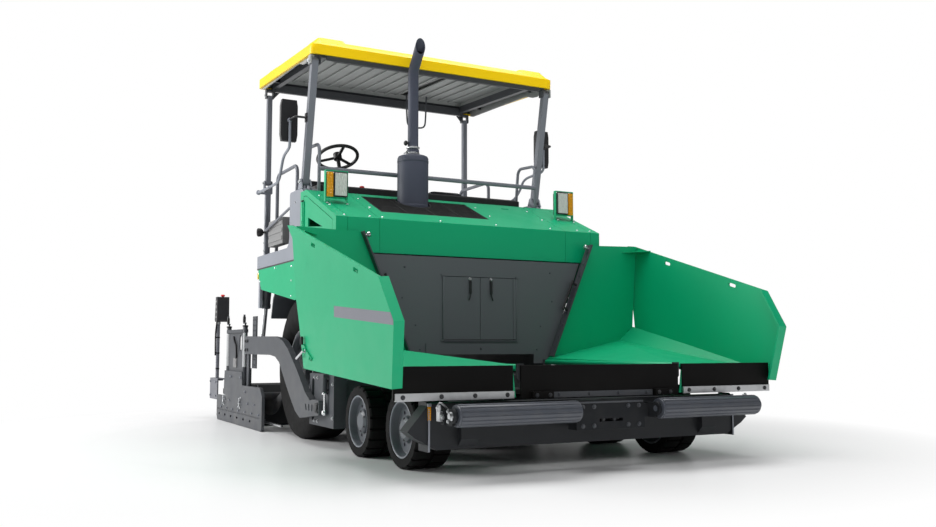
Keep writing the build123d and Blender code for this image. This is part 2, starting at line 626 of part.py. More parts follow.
def hood():
    """Engine hood: a sheet shell, open below, with seams, grille opening and door openings."""
    outer = plate("y", -BODY_HALF, BODY_HALF, (HOOD_REAR, HOOD_LOW), (HOOD_FRONT, HOOD_LOW),
                  (HOOD_FRONT, HOOD_FRONT_TOP), (HOOD_KNEE, HOOD_TOP), (HOOD_REAR, HOOD_TOP))
    half = BODY_HALF - SHEET
    inner = plate("y", -half, half, (HOOD_REAR + SHEET, HOOD_LOW - 1),
                  (HOOD_FRONT - SHEET, HOOD_LOW - 1), (HOOD_FRONT - SHEET, HOOD_FRONT_TOP - 11),
                  (HOOD_KNEE, HOOD_TOP - SHEET), (HOOD_REAR + SHEET, HOOD_TOP - SHEET))
    shell = outer - inner
    mouth = BODY_HALF - 175
    shell -= block((HOOD_FRONT - 50, HOOD_FRONT + 1), (-mouth, mouth), (HOOD_LOW - 1, BULKHEAD_TOP + SHEET))
    rear = PLATFORM_HALF + SHEET
    shell -= block((COLUMN_FRONT, COLUMN_FRONT + 50), (-rear, rear), (HOOD_LOW - 1, DECK_UNDER + GAP))
    shell -= slope_prism(*GRILLE_Y, *GRILLE_X, -1, 40)
    shell -= rod("z", MUFFLER_LOW - 90, HOOD_TOP + 100, MUFFLER_X, MUFFLER_Y, MUFFLER_R + 12)
    seam = 4
    for y in HOOD_SEAMS:
        groove = slope_prism(y - seam / 2, y + seam / 2, HOOD_KNEE, HOOD_FRONT - seam, -1, seam)
        groove += block((HOOD_FRONT - seam, HOOD_FRONT + 1), (y - seam / 2, y + seam / 2),
                        (BULKHEAD_TOP, HOOD_FRONT_TOP + 1))
        shell -= both(groove)
    shell -= slot("z", HOOD_TOP - 150, HOOD_TOP, HOOD_FRONT - 632, 643, 80, 30, 90)
    low, high = DOOR_X[0] - GAP, DOOR_X[1] + GAP
    opening = plate("y", half - 1, BODY_HALF + 1, (low, DOOR_LOW - GAP),
                    (high, DOOR_LOW - GAP), (high, hood_top(high) - 50), (HOOD_KNEE, HOOD_TOP - 50),
                    (low, HOOD_TOP - 50))
    return shell - both(opening)


def hood_hinges():
    """Pins that the hood's side doors turn on, each with its end lugs."""
    z = (DOOR_LOW + 20, HOOD_TOP - 98)
    hinge = rod("z", z[0] - 15, z[1] + 15, DOOR_X[0], SIDE_HINGE_Y, SIDE_PIN_R)
    for level in (z[0] - 15, z[1]):
        hinge += rod("z", level, level + 15, DOOR_X[0], SIDE_HINGE_Y, SIDE_PIN_R + 3)
        hinge += block((DOOR_X[0] - 25, DOOR_X[0] - 2), (BODY_HALF, SIDE_HINGE_Y + 7), (level, level + 15))
    return both(hinge)


def hood_door():
    """Left-hand service door in the hood's side, hinged at its rear edge."""
    low, high = DOOR_X
    leaf = plate("y", BODY_HALF - SHEET, BODY_HALF, (low, DOOR_LOW), (high, DOOR_LOW),
                 (high, hood_top(high) - 55), (HOOD_KNEE, HOOD_TOP - 55), (low, HOOD_TOP - 55))
    z = (DOOR_LOW + 22, HOOD_TOP - 100)
    barrel = rod("z", *z, low, SIDE_HINGE_Y, SIDE_BARREL_R)
    web = block((low, low + 30), (BODY_HALF - 1, SIDE_HINGE_Y), z)
    vent_high = HOOD_TOP - 248
    vent = plate("y", BODY_HALF - SHEET - 1, BODY_HALF + 1, (low + 125, vent_high - 80),
                 (low + 125, vent_high), (high - 245, vent_high - 120))
    door = fuse(leaf, barrel, web) - vent
    return door - rod("z", z[0] - 1, z[1] + 1, low, SIDE_HINGE_Y, SIDE_PIN_R + FIT)


def hood_grille():
    """Frame of the top grille with its cross slats, notched round the muffler."""
    y = (GRILLE_Y[0] + SEAT, GRILLE_Y[1] - SEAT)
    x = (GRILLE_X[0] + SEAT, GRILLE_X[1] - SEAT)
    edge = 16
    grille = slope_prism(*y, *x, 2, 22)
    grille -= slope_prism(y[0] + edge, y[1] - edge, x[0] + edge, x[1] - edge, 1, 23)
    for number in range(1, int((x[1] - x[0]) / GRILLE_STEP)):
        back = x[0] + number * GRILLE_STEP
        grille += slope_prism(y[0] + edge, y[1] - edge, back, back + 12, 4, 20)
    for share in (1, 2, 3):
        rib = y[0] + share * (y[1] - y[0]) / 4
        grille += slope_prism(rib, rib + 12, x[0] + edge, x[1] - edge, 6, 22)
    collar = rod("z", HOOD_TOP - 200, HOOD_TOP + 50, MUFFLER_X, MUFFLER_Y, MUFFLER_R + 26)
    grille += collar & slope_prism(*y, *x, 2, 22)
    return grille - rod("z", HOOD_TOP - 300, HOOD_TOP + 100, MUFFLER_X, MUFFLER_Y, MUFFLER_R + 12)


def engine():
    """Engine block with its rocker cover and the cooler in front."""
    floor = TUNNEL_TOP + 20
    return fuse(
        block((-250, 900), (-330, 330), (floor, ENGINE_TOP - 160)),
        block((-180, 820), (-450, 450), (floor, ENGINE_TOP - 380)),
        block((-200, 800), (-230, 230), (ENGINE_TOP - 160, ENGINE_TOP)),
        block((900, 1050), (-450, 450), (floor, ENGINE_TOP)),
    )


def exhaust():
    """Upright muffler on the engine, with its bent and cut tail pipe."""
    x, y = MUFFLER_X, MUFFLER_Y
    bend_z = ROOF_RIM_Z - 72
    riser = block((x - 60, x + 60), (y - 60, y + 95), (ENGINE_TOP - 160, MUFFLER_LOW - 60))
    drum = spun(
        x, y,
        (0, MUFFLER_LOW - 60), (60, MUFFLER_LOW - 60), (60, MUFFLER_LOW), (MUFFLER_R - 10, MUFFLER_LOW),
        (MUFFLER_R, MUFFLER_LOW + 10), (MUFFLER_R, MUFFLER_HIGH - 25), (MUFFLER_R - 8, MUFFLER_HIGH - 8),
        (MUFFLER_R - 25, MUFFLER_HIGH), (PIPE_R + 8, MUFFLER_HIGH), (PIPE_R + 8, MUFFLER_HIGH + 55),
        (0, MUFFLER_HIGH + 55),
    )
    pipe = bent_tube(PIPE_R, 110, (x, y, MUFFLER_HIGH + 30), (x, y, bend_z), (x + 190, y, bend_z + 240))
    # oblique mouth, hollow
    pipe -= block((x + 150, x + 400), (y - 60, y + 60), (bend_z, bend_z + 400))
    pipe -= bar((x + 95, y, bend_z + 120), (x + 285, y, bend_z + 360), PIPE_R - 5)
    return fuse(riser, drum, pipe)


# ---- platform, fenders and fittings
def platform():
    """Operator's deck with the dash that closes it in front."""
    deck = block((PLATFORM_REAR, COLUMN_FRONT), (-PLATFORM_HALF, PLATFORM_HALF), (DECK_UNDER, PLATFORM_Z))
    dash_half = BODY_HALF - 195
    dash = plate("y", -dash_half, dash_half, (60, PLATFORM_Z), (COLUMN_FRONT, PLATFORM_Z),
                 (COLUMN_FRONT, HOOD_TOP - 8), (200, HOOD_TOP - 8), (120, HOOD_TOP - 178))
    toe_half = BODY_HALF - 260
    toe = block((PLATFORM_REAR, PLATFORM_REAR + 8), (-toe_half, toe_half), (PLATFORM_Z, PLATFORM_Z + 60))
    return fuse(deck, dash, toe)


def fenders():
    """Outer panels over the rear wheels, with a folded lower edge."""
    y = BODY_HALF - 25
    high = DECK_UNDER - 100
    rear = PLATFORM_REAR + 30
    panel = plate("y", y - SHEET, y, (rear, high), (COLUMN_FRONT, high), (COLUMN_FRONT, HOOD_LOW),
                  (110, HOOD_LOW), (rear + 120, HOOD_LOW + 150))
    lip = plate("y", y - SHEET - 5, y - SHEET, (110, HOOD_LOW), (rear + 120, HOOD_LOW + 150),
                (rear + 120, HOOD_LOW + 170), (110, HOOD_LOW + 20))
    return both(panel + lip)


def skirts():
    """Edge of the platform and the housing at the foot of each front post."""
    low = DECK_UNDER - 100 + SEAT
    outer = BODY_HALF - 25
    edge = block((PLATFORM_REAR, COLUMN_FRONT), (PLATFORM_HALF, outer), (low, PLATFORM_Z))
    foot_x, foot_z = FRONT_POST[0]
    shelf = foot_z - 60
    column = plate("y", outer - 150, outer, (foot_x - 370, PLATFORM_Z), (COLUMN_FRONT, PLATFORM_Z),
                   (COLUMN_FRONT, HOOD_TOP + 12), (foot_x + 30, shelf), (foot_x - 285, shelf),
                   (foot_x - 300, shelf - 15), (foot_x - 300, PLATFORM_Z + 90),
                   (foot_x - 320, PLATFORM_Z + 30))
    ears = [
        round_top("y", low_y, low_y + EAR_T, (foot_x, foot_z), 28, 60, shelf - 5)
        for low_y in (POST_Y - 49, POST_Y + 35)
    ]
    pin = rod("y", POST_Y - 49, POST_Y + 49, foot_x, foot_z, POST_PIN_R)
    return both(fuse(edge, column, *ears, pin))


def guard_rails():
    """Fixed lower rear posts with their hinge ears, and the rails round the platform."""
    x, z = REAR_POST[0]
    half = REAR_POST_W / 2
    inner, outer = REAR_POST_Y - half, REAR_POST_Y + half
    post = block((x - half, x + half), (inner, outer), (PLATFORM_Z + 30, z - 45))
    shoe = block((x - half - 6, PLATFORM_REAR), (inner, outer), (DECK_UNDER, PLATFORM_Z + 30))
    ears = [
        round_top("y", low, low + 12, (x, z), half, half, z - 110)
        for low in (inner - 17, outer + GAP)
    ]
    bridge = block((x - half, x + half), (inner - 17, outer + 17), (z - 110, z - 45))
    pin = rod("y", inner - 17, outer + 17, x, z, POST_PIN_R)
    loop_y = BODY_HALF - 215
    loop_x, loop_z = (PLATFORM_REAR + 20, PLATFORM_REAR + 680), PLATFORM_Z + 850
    rail = bent_tube(17, 80, (loop_x[0], loop_y, PLATFORM_Z), (loop_x[0], loop_y, loop_z),
                     (loop_x[1], loop_y, loop_z), (loop_x[1], loop_y, PLATFORM_Z))
    # rail from the post to the column
    column_x = FRONT_POST[0][0] - 300 - SEAT
    brace = bent_tube(12, 60, (x, REAR_POST_Y + 8, z - 200), (x + 80, REAR_POST_Y + 46, z - 510),
                      (column_x - 200, REAR_POST_Y + 46, z - 380), (column_x, REAR_POST_Y + 46, z - 380))
    hand_x = (10, COLUMN_FRONT + 50)
    shelf = FRONT_POST[0][1] - 60
    hand = bent_tube(15, 70, (hand_x[0], HAND_Y, shelf + 2.5), (hand_x[0] + 50, HAND_Y, HOOD_TOP + 462),
                     (hand_x[1], HAND_Y, HOOD_TOP + 442), (hand_x[1], HAND_Y, HOOD_TOP + SEAT))
    across = rod("y", -HAND_Y, HAND_Y, hand_x[1] - 2, HOOD_TOP + 222, 20)
    return fuse(both(fuse(post, shoe, *ears, bridge, pin, rail, brace, hand)), across)


def seats():
    """Two operator seats on their boxes, the cushions rounded."""
    middle = BODY_HALF - 545
    base = plate("y", middle - 140, middle + 140, (-760, PLATFORM_Z), (-420, PLATFORM_Z),
                 (-400, PLATFORM_Z + 250), (-780, PLATFORM_Z + 250))
    cushion = block((-800, -330), (middle - 220, middle + 220), (PLATFORM_Z + 250, PLATFORM_Z + 360))
    back = plate("y", middle - 210, middle + 210, (-830, PLATFORM_Z + 260), (-730, PLATFORM_Z + 260),
                 (-790, PLATFORM_Z + 760), (-820, PLATFORM_Z + 800), (-880, PLATFORM_Z + 790))
    rest_z = PLATFORM_Z + 490
    arms = [rod("y", middle - 250, middle + 250, -812, rest_z + 17, 14)]
    for y in (middle - 245, middle + 245):
        arms.append(block((-830, -450), (y - 25, y + 25), (rest_z, rest_z + 35)))
    return both(fuse(base, cushion, back, *arms))


def steering_wheel():
    """Three-spoke wheel, in its own plane and then leant to its column."""
    rim_r, tube_r = 190, 16
    hub = rod("z", 0, 60, 0, 0, 40)
    spokes = [Rot(0, 0, turn) * block((0, rim_r - 5), (-14, 14), (14, 26)) for turn in (0, 120, 240)]
    wheel = fuse(hub, Pos(0, 0, 20) * Torus(rim_r, tube_r), *spokes)
    return STEER_PLACE * (wheel - rod("z", -1, 45, 0, 0, STEER_R + FIT))


def console():
    """Operator console across the platform, with the steering column."""
    half = BODY_HALF - 225
    low, high = PLATFORM_Z + 420, PLATFORM_Z + 550
    desk = plate("y", -half, half, (-130, low), (60, low - 70), (60, HOOD_TOP - 8), (200, HOOD_TOP - 8),
                 (200, high), (150, high + 20), (-70, high + 20), (-110, high - 20))
    for y in (-half + 120, half - 480):
        desk -= block((-80, 120), (y, y + 360), (high + 8, high + 21))
    column = STEER_PLACE * rod("z", -420, 44, 0, 0, STEER_R)
    return desk + column


def headlamps():
    """Lamps in their strap guards on the hood's top, each with its outer indicator."""
    x = HOOD_FRONT - 400
    foot = hood_top(x)
    y = (BODY_HALF - 235, BODY_HALF - 35)
    top = HOOD_TOP + 116
    strap = block((x, x + 36), y, (foot - 30, top))
    strap -= block((x - 1, x + 37), (y[0] + 8, y[1] - 8), (foot - 40, top - 8))
    strap -= slope_prism(y[0] - 1, y[1] + 1, x - 10, x + 60, -SEAT, 60)
    shelf = block((x, x + 36), y, (foot + 34, foot + 42))
    lamp = block((x - 30, x + 40), (y[0] + 14, y[0] + 124), (foot + 42, top - 20))
    lamp += block((x + 40, x + 52), (y[0] + 10, y[0] + 128), (foot + 48, top - 14))
    indicator = block((x, x + 46), (y[0] + 136, y[0] + 186), (foot + 42, top - 18))
    return both(fuse(strap, shelf, lamp, indicator))


def mirrors():
    """Mirror heads on bent arms from the front posts."""
    low = PLATFORM_Z + 930
    x = 162
    head = plate("x", x - 22, x + 23, (BODY_HALF, low), (BODY_HALF + 135, low), (BODY_HALF + 145, low + 60),
                 (BODY_HALF + 145, low + 320), (BODY_HALF + 135, low + 380), (BODY_HALF, low + 380),
                 (BODY_HALF - 10, low + 320), (BODY_HALF - 10, low + 60))
    outer = POST_Y + POST_W / 2 + SEAT
    arm_y = BODY_HALF + 67
    arm = bent_tube(10, 30, (352, outer, low + 190), (352, arm_y, low + 190), (x + 22, arm_y, low + 190))
    clamp = block((330, 374), (outer, outer + 12), (low + 150, low + 230))
    return both(fuse(head, arm, clamp))


def centre_apron():
    """Rubber flap between the wings, on its two hinge blocks."""
    front = WING_FRONT + 20
    flap = block((front, front + 16), (-FRAME_HALF, FRAME_HALF), (APRON_LOW, APRON_HIGH))
    hinge = block((front + 16, front + 50), (420, 580), (APRON_LOW, APRON_LOW + 45))
    return flap + both(hinge)


# ---- wings
def wing():
    """Left hopper half: leaning outer plate, rear plate, folded floor and hinge tube."""
    lean = Pos(0, WING_FOOT_Y, WING_FOOT_Z) * Rot(-WING_LEAN, 0, 0)
    nose = WING_FRONT + 65
    skin = plate("y", 0, WING_T, (WING_REAR + 90, 90), (nose, 0), (nose + 91, 402), (nose - 105, 682),
                 (WING_REAR - 20, 1182), (WING_REAR - 120, 1195), (WING_REAR - 10, 1080), (WING_REAR, 620),
                 (WING_REAR + 40, 437))
    flange = plate("y", -50, 0, (nose - 18, 1), (nose, 0), (nose + 91, 402), (nose - 105, 682),
                   (nose - 120, 674), (nose + 71, 400))
    for along, up in WING_SLOTS:
        skin -= slot("y", -1, WING_T + 1, along, up, 90, 28, 16.8)
    outer = lean * (skin + flange)
    foot_y = WING_HINGE_Y + GAP
    rear = plate("x", WING_REAR, WING_REAR + WING_T, (BODY_HALF - 175, 1730), (WING_FOOT_Y + 73, 1745),
                 (WING_FOOT_Y + 21, 1010), (WING_FOOT_Y - 139, 870), (WING_HINGE_Y + 40, 735),
                 (foot_y, 700), (WING_HINGE_Y + 30, 740))
    hinge_rear = (WING_REAR, foot_y, 725)
    hinge_front = (WING_FRONT, foot_y, 705)
    side_rear = (WING_REAR, WING_FOOT_Y - 139, 880)
    side_front = (WING_FRONT, WING_FOOT_Y + 11, 640)
    corner = (WING_REAR, WING_FOOT_Y + 26, 1010)
    floor = fuse(
        triangle_plate(WING_T, hinge_rear, hinge_front, side_rear),
        triangle_plate(WING_T, hinge_front, side_front, side_rear),
        triangle_plate(WING_T, side_rear, side_front, corner),
    )
    # stiffener in the upper corner
    gusset_z = 1690
    gusset = triangle_plate(8, (WING_REAR + WING_T - 1, WING_FOOT_Y - 90, gusset_z),
                            (WING_REAR + WING_T - 1, WING_FOOT_Y + 78, gusset_z),
                            (WING_REAR + 230, WING_FOOT_Y + 78, gusset_z))
    tube = rod("x", WING_REAR, WING_FRONT, WING_HINGE_Y, WING_HINGE_Z, WING_TUBE_R)
    whole = fuse(outer, rear, floor, gusset, tube)
    return whole - rod("x", WING_REAR - 1, WING_FRONT + 1, WING_HINGE_Y, WING_HINGE_Z, WING_PIN_R + FIT)


def side_apron():
    """Rubber flap in front of a wing, with its clamping bar."""
    y = (FRAME_HALF + 50, BODY_HALF + 265)
    flap = block((WING_FRONT, WING_FRONT + 20), y, (APRON_LOW + 10, APRON_HIGH))
    clamp = block((WING_FRONT + 20, WING_FRONT + 32), (y[0], y[1] - 10), (APRON_LOW + GAP, APRON_LOW + 50))
    return flap + clamp


# ---- push rollers
def push_yoke():
    """Swinging beam of the push rollers: a forked middle on its upright pin, and the roller arms."""
    face = YOKE_X + 120
    middle = plate("z", TONGUE_Z[0] - 55, BEAM_HIGH, (YOKE_X - 40, -120), (YOKE_X + 20, -280), (face, -280),
                   (face, 280), (YOKE_X + 20, 280), (YOKE_X - 40, 120))
    fork = (TONGUE_Z[0] - GAP, TONGUE_Z[1] + GAP)
    middle -= block((YOKE_X - 41, YOKE_X + 75), (-281, 281), fork)
    middle -= block((YOKE_X + 60, face + 1), (-95, 95), fork)
    beam = block((face - 50, face), (-BODY_HALF + 30, BODY_HALF - 30), (350, 440))
    arms = []
    for low in (ROLLER_SPAN[0] - 24, ROLLER_SPAN[1] + 6):
        arms.append(block((face - 50, ROLLER_X), (low, low + 18), (350, 450)))
        arms.append(rod("y", low, low + 18, ROLLER_X, ROLLER_Z, 45))
    pin = rod("z", fork[0] - 48, BEAM_HIGH + 2, YOKE_X, 0, YOKE_PIN_R)
    yoke = fuse(middle, beam, both(fuse(*arms)), pin)
    shaft = rod("y", 0, BODY_HALF, ROLLER_X, ROLLER_Z, ROLLER_SHAFT_R + FIT)
    return yoke - both(shaft)


def push_roller():
    """Fluted roller with plain ends, on its shaft."""
    low, high = ROLLER_SPAN
    section = Circle(ROLLER_R)
    for number in range(FLUTE_COUNT):
        section -= Rot(0, 0, number * 360 / FLUTE_COUNT) * Pos(ROLLER_R, 0) * Circle(FLUTE_R)
    start = Plane(origin=(ROLLER_X, low + 12, ROLLER_Z), z_dir=ALONG["y"])
    drum = extrude(start * section, amount=high - low - 24)
    caps = [rod("y", y, y + 12, ROLLER_X, ROLLER_Z, ROLLER_R - 4) for y in (low, high - 12)]
    shaft = rod("y", low - 24, high + 24, ROLLER_X, ROLLER_Z, ROLLER_SHAFT_R)
    return fuse(drum, *caps, shaft)


# ---- canopy
def front_posts():
    """Raked front posts of the canopy, each with a round end at its two pins."""
    (x0, z0), (x1, z1) = FRONT_POST
    post = strut((x0, POST_Y, z0), (x1, POST_Y, z1), POST_W, POST_W)
    post -= strut((x0, POST_Y, z0), (x1, POST_Y, z1), POST_W - 10, POST_W - 10)
    ends = [rod("y", POST_Y - POST_W / 2, POST_Y + POST_W / 2, x, z, POST_W / 2) for x, z in FRONT_POST]
    holes = [rod("y", POST_Y - POST_W, POST_Y + POST_W, x, z, POST_PIN_R + FIT) for x, z in FRONT_POST]
    return both(fuse(post, *ends) - holes)


def rear_posts():
    (x0, z0), (x1, z1) = REAR_POST
    half = REAR_POST_W / 2
    post = block((x0 - half, x0 + half), (REAR_POST_Y - half, REAR_POST_Y + half), (z0, z1))
    end = rod("y", REAR_POST_Y - half, REAR_POST_Y + half, x0, z0, half)
    hole = rod("y", REAR_POST_Y - 2 * half, REAR_POST_Y + 2 * half, x0, z0, POST_PIN_R + FIT)
    return both(post + end - hole)


ROOF_LENGTH = ROOF_X[1] - ROOF_X[0]
ROOF_PLACE = Pos(ROOF_X[1], 0, ROOF_RIM_Z) * Rot(0, ROOF_SLOPE, 0) * Pos(-ROOF_LENGTH / 2, 0, 0)
ROOF_TOP = ROOF_RIM + ROOF_RISE


def pan(inset, low, bend, high, corner):
    """A tray shape in the roof's own frame: an upright rim, then a bevel drawn in to its top."""
    length, width = ROOF_LENGTH - 2 * inset, 2 * (ROOF_HALF - inset)
    rim = extrude(Pos(0, 0, low) * RectangleRounded(length, width, corner), amount=bend - low)
    bevel = loft([
        Pos(0, 0, bend) * RectangleRounded(length, width, corner),
        Pos(0, 0, high) * RectangleRounded(length - 2 * ROOF_BEVEL, width - 2 * ROOF_BEVEL, corner / 2),
    ])
    return rim + bevel


def roof():
    """Moulded roof: a hollow tray with a bevelled edge and a raised pad at each corner."""
    shell = pan(0, 0, ROOF_RIM, ROOF_TOP, 60)
    pad_length, pad_width = 420, 380
    for end in (-1, 1):
        for side in (-1, 1):
            centre = Pos(end * (ROOF_LENGTH - pad_length - 16) / 2, side * (ROOF_HALF - pad_width / 2 - 8), 0)
            drawn_in = Pos(end * -12, side * -12, 0)
            shell += centre * loft([
                Pos(0, 0, ROOF_RIM - 10) * RectangleRounded(pad_length, pad_width, 55),
                drawn_in * Pos(0, 0, ROOF_TOP + ROOF_LOBE) * RectangleRounded(
                    pad_length - 140, pad_width - 140, 30),
            ])
    shell -= pan(ROOF_SKIN, -1, ROOF_RIM - 15, ROOF_TOP - ROOF_SKIN, 35)
    return ROOF_PLACE * shell


def roof_frame():
    """Steel frame, ribbed lining, valance and cross tube under the moulded roof, with the posts' ears."""
    half = ROOF_LENGTH / 2
    ceiling = ROOF_TOP - ROOF_SKIN - SEAT
    knee = half - ROOF_SKIN - ROOF_BEVEL
    low = 10
    inner_y = ROOF_RAIL_Y - 50
    rail = plate("y", inner_y, ROOF_RAIL_Y, (-half + 45, low), (half - 45, low), (half - 45, low + 50),
                 (knee, ceiling), (-knee, ceiling), (-half + 45, low + 50))
    rim_in = ROOF_SKIN + SEAT
    liner = 8
    lining = pan(rim_in, 20, ROOF_RIM - 15 - SEAT, ceiling, 35)
    lining -= pan(rim_in + liner, 19, ROOF_RIM - 15 - SEAT - liner, ceiling - liner, 30)
    count = int((inner_y - 40) / ROOF_RIB_STEP)
    ribs = [
        Pos(0, number * ROOF_RIB_STEP, 0) * block((-knee, knee), (-15, 15), (ceiling - 20, ceiling - liner))
        for number in range(-count, count + 1)
    ]
    header = block((half - 90, half - 45), (-ROOF_RAIL_Y, ROOF_RAIL_Y), (low - 30, low + 50))
    tail = block((-half + 28, -half + 72), (-ROOF_RAIL_Y, ROOF_RAIL_Y), (low - 30, low + 50))
    # dark valance inside the moulding: straight in front, waved along the sides
    front = block((half - rim_in - 14, half - rim_in), (-inner_y - 40, inner_y + 40), (-42, 60))
    bridges = [
        block((half - 46, half - rim_in), (y - 30, y + 30), (low, low + 30)) for y in (-800, 0, 800)
    ]
    side_y = (ROOF_HALF - rim_in - 12, ROOF_HALF - rim_in)
    valance = plate("y", *side_y, (half - 150, 60), (half - 150, -10), (half - 240, -40), (half - 330, -34),
                    (half - 430, -6), (half - 520, 0), (-half + 120, -24),
                  (-half + 60, -12), (-half + 60, 60))
    hangers = [
        block((x - 20, x + 20), (ROOF_RAIL_Y, side_y[1]), (25, 55)) for x in (-half + 300, half - 360)
    ]
    # awning tube with round ends
    tube_y, tube_x = inner_y - 120, (half - 400, half - 280)
    tube_z = ceiling - 62
    tube = bent_tube(14, 50, (tube_x[1], 0, tube_z), (tube_x[1], tube_y, tube_z),
                     (tube_x[0], tube_y, tube_z), (tube_x[0], 0, tube_z))
    clips = [
        block((tube_x[0] - 14, tube_x[1] + 14), (y - 12, y + 12), (tube_z, ceiling - liner))
        for y in (300, 800)
    ]
    sides = both(fuse(rail, valance, *hangers, tube, *clips))
    frame = fuse(sides, lining, *ribs, header, tail, front, *bridges)
    return fuse(ROOF_PLACE * frame, both(fuse(*post_ears())))


def post_ears():
    """Ears that straddle the tops of the left posts."""
    x, z = FRONT_POST[1]
    outer = POST_Y + 49
    pieces = [
        plate("y", low, low + EAR_T, (x - 35, z - 28), (x + 35, z - 28), (x + 35, z + 50), (x - 35, z + 50))
        for low in (POST_Y - 49, POST_Y + 35)
    ]
    pieces.append(rod("y", POST_Y - 49, outer, x, z, POST_PIN_R))
    pieces.append(block((x - 22, x + 23), (ROOF_RAIL_Y - 15, outer), (z + POST_W / 2 + GAP, z + 50)))
    x, z = REAR_POST[1]
    half = REAR_POST_W / 2
    top = z + 65
    pieces += [
        block((x - half, x + half), (low, low + 12), (z - 30, top))
        for low in (REAR_POST_Y - half - 17, REAR_POST_Y + half + GAP)
    ]
    pieces.append(block((x - half, x + half), (ROOF_RAIL_Y - 25, REAR_POST_Y + half + 17), (z + 40, top)))
    gusset_y = REAR_POST_Y - half - 17
    gusset = plate("x", x - 6, x + 6, (gusset_y + 1, z - 28), (gusset_y + 1, z + 41), (gusset_y - 60, z + 41))
    pieces.append(gusset)
    return pieces


# ---- screed
def tow_arms():
    """Side arms of the screed: a curved plate from the tow pin to the hanger, with the lift eye's pin."""
    rear = SCREED_FRONT - 30
    x, z = TOW_X, TOW_Z
    eye_z = LIFT_EYE[1]
    arm = plate(
        "y", ARM_IN, ARM_OUT,
        (rear, eye_z + 85), (x - 1310, eye_z + 75), (x - 1100, eye_z + 62), (x - 960, eye_z + 30),
        (x - 840, eye_z - 25), (x - 740, z + 435), (x - 530, z + 295), (x - 300, z + 115), (x - 170, z + 50),
        (x - 110, z + 62), (x + 50, z + 60), (x + 62, z + 40), (x + 62, z - 45), (x + 50, z - 60),
        (x - 60, z - 70), (x - 430, z - 110), (x - 560, z - 62), (x - 680, z + 25), (x - 830, z + 145),
        (x - 1070, z + 355), (x - 1200, eye_z - 115), (x - 1370, eye_z - 100), (rear, eye_z - 100),
    )
    arm -= rod("y", ARM_IN - 1, ARM_OUT + 1, x, z, TOW_PIN_R + FIT)
    for back, tilt in ((270, 60), (190, 80), (110, 90)):
        arm -= slot("y", ARM_IN - 1, ARM_OUT + 1, x - back, z - 8, 62, 26, tilt)
    hanger = block((SCREED_FRONT - 50, SCREED_FRONT + 30), (SCREED_HALF + 18, ARM_IN + 24), (250, eye_z + 85))
    # pierced bracket plate inside the arm's rear end
    plate_x = (SCREED_FRONT + 30, SCREED_FRONT + 170)
    bracket = block(plate_x, (ARM_IN - 24, ARM_IN - 10), (eye_z - 245, eye_z + 290))
    bracket += block((plate_x[0] - 1, plate_x[0] + 20), (ARM_IN - 24, ARM_IN + 1), (eye_z - 80, eye_z + 80))
    holes = [
        rod("y", ARM_IN - 25, ARM_IN - 9, hole_x, hole_z, 11)
        for hole_x in (plate_x[0] + 45, plate_x[0] + 100)
        for hole_z in (eye_z - 210, eye_z - 155, eye_z + 140, eye_z + 195, eye_z + 250)
    ]
    eye_pin = rod("y", LIFT_Y - 28, ARM_IN, *LIFT_EYE, LIFT_PIN_R)
    return both(fuse(arm, hanger, bracket - holes, eye_pin))


def screed_body():
    """Screed box on its sole plate, with the guide tubes of its extensions, end cheeks and walkway."""
    rear, front = SCREED_REAR, SCREED_FRONT
    body = plate(
        "y", -SCREED_HALF, SCREED_HALF,
        (front - 20, SCREED_CLEAR), (rear, SCREED_CLEAR), (rear, 60), (rear + 40, 75), (rear + 40, 300),
        (rear + 100, 420), (front - 150, 420), (front, 250), (front, 30),
    )
    tubes = [rod("y", -SCREED_HALF, SCREED_HALF, rear + 40, z, 38) for z in (170, 270)]
    cheek = plate(
        "y", SCREED_HALF, ARM_IN + 1.5,
        (front, 40), (SHIELD_REAR + 310, 40), (SHIELD_REAR + 310, 560), (rear, 600), (front, 600),
    )
    walkway = block((SHIELD_REAR - 110, rear + 62), (-SCREED_HALF + 20, SCREED_HALF - 20), (322, 340))
    walkway += block((SHIELD_REAR - 110, SHIELD_REAR - 98), (-SCREED_HALF + 20, SCREED_HALF - 20), (282, 322))
    step = 220
    count = int((SCREED_HALF - 100) / step)
    for number in range(-count, count + 1):
        for x in (rear - 200, rear - 400):
            walkway -= Pos(x, number * step, 330) * Box(140, 30, 30)
    return fuse(body, *tubes, both(cheek), walkway)


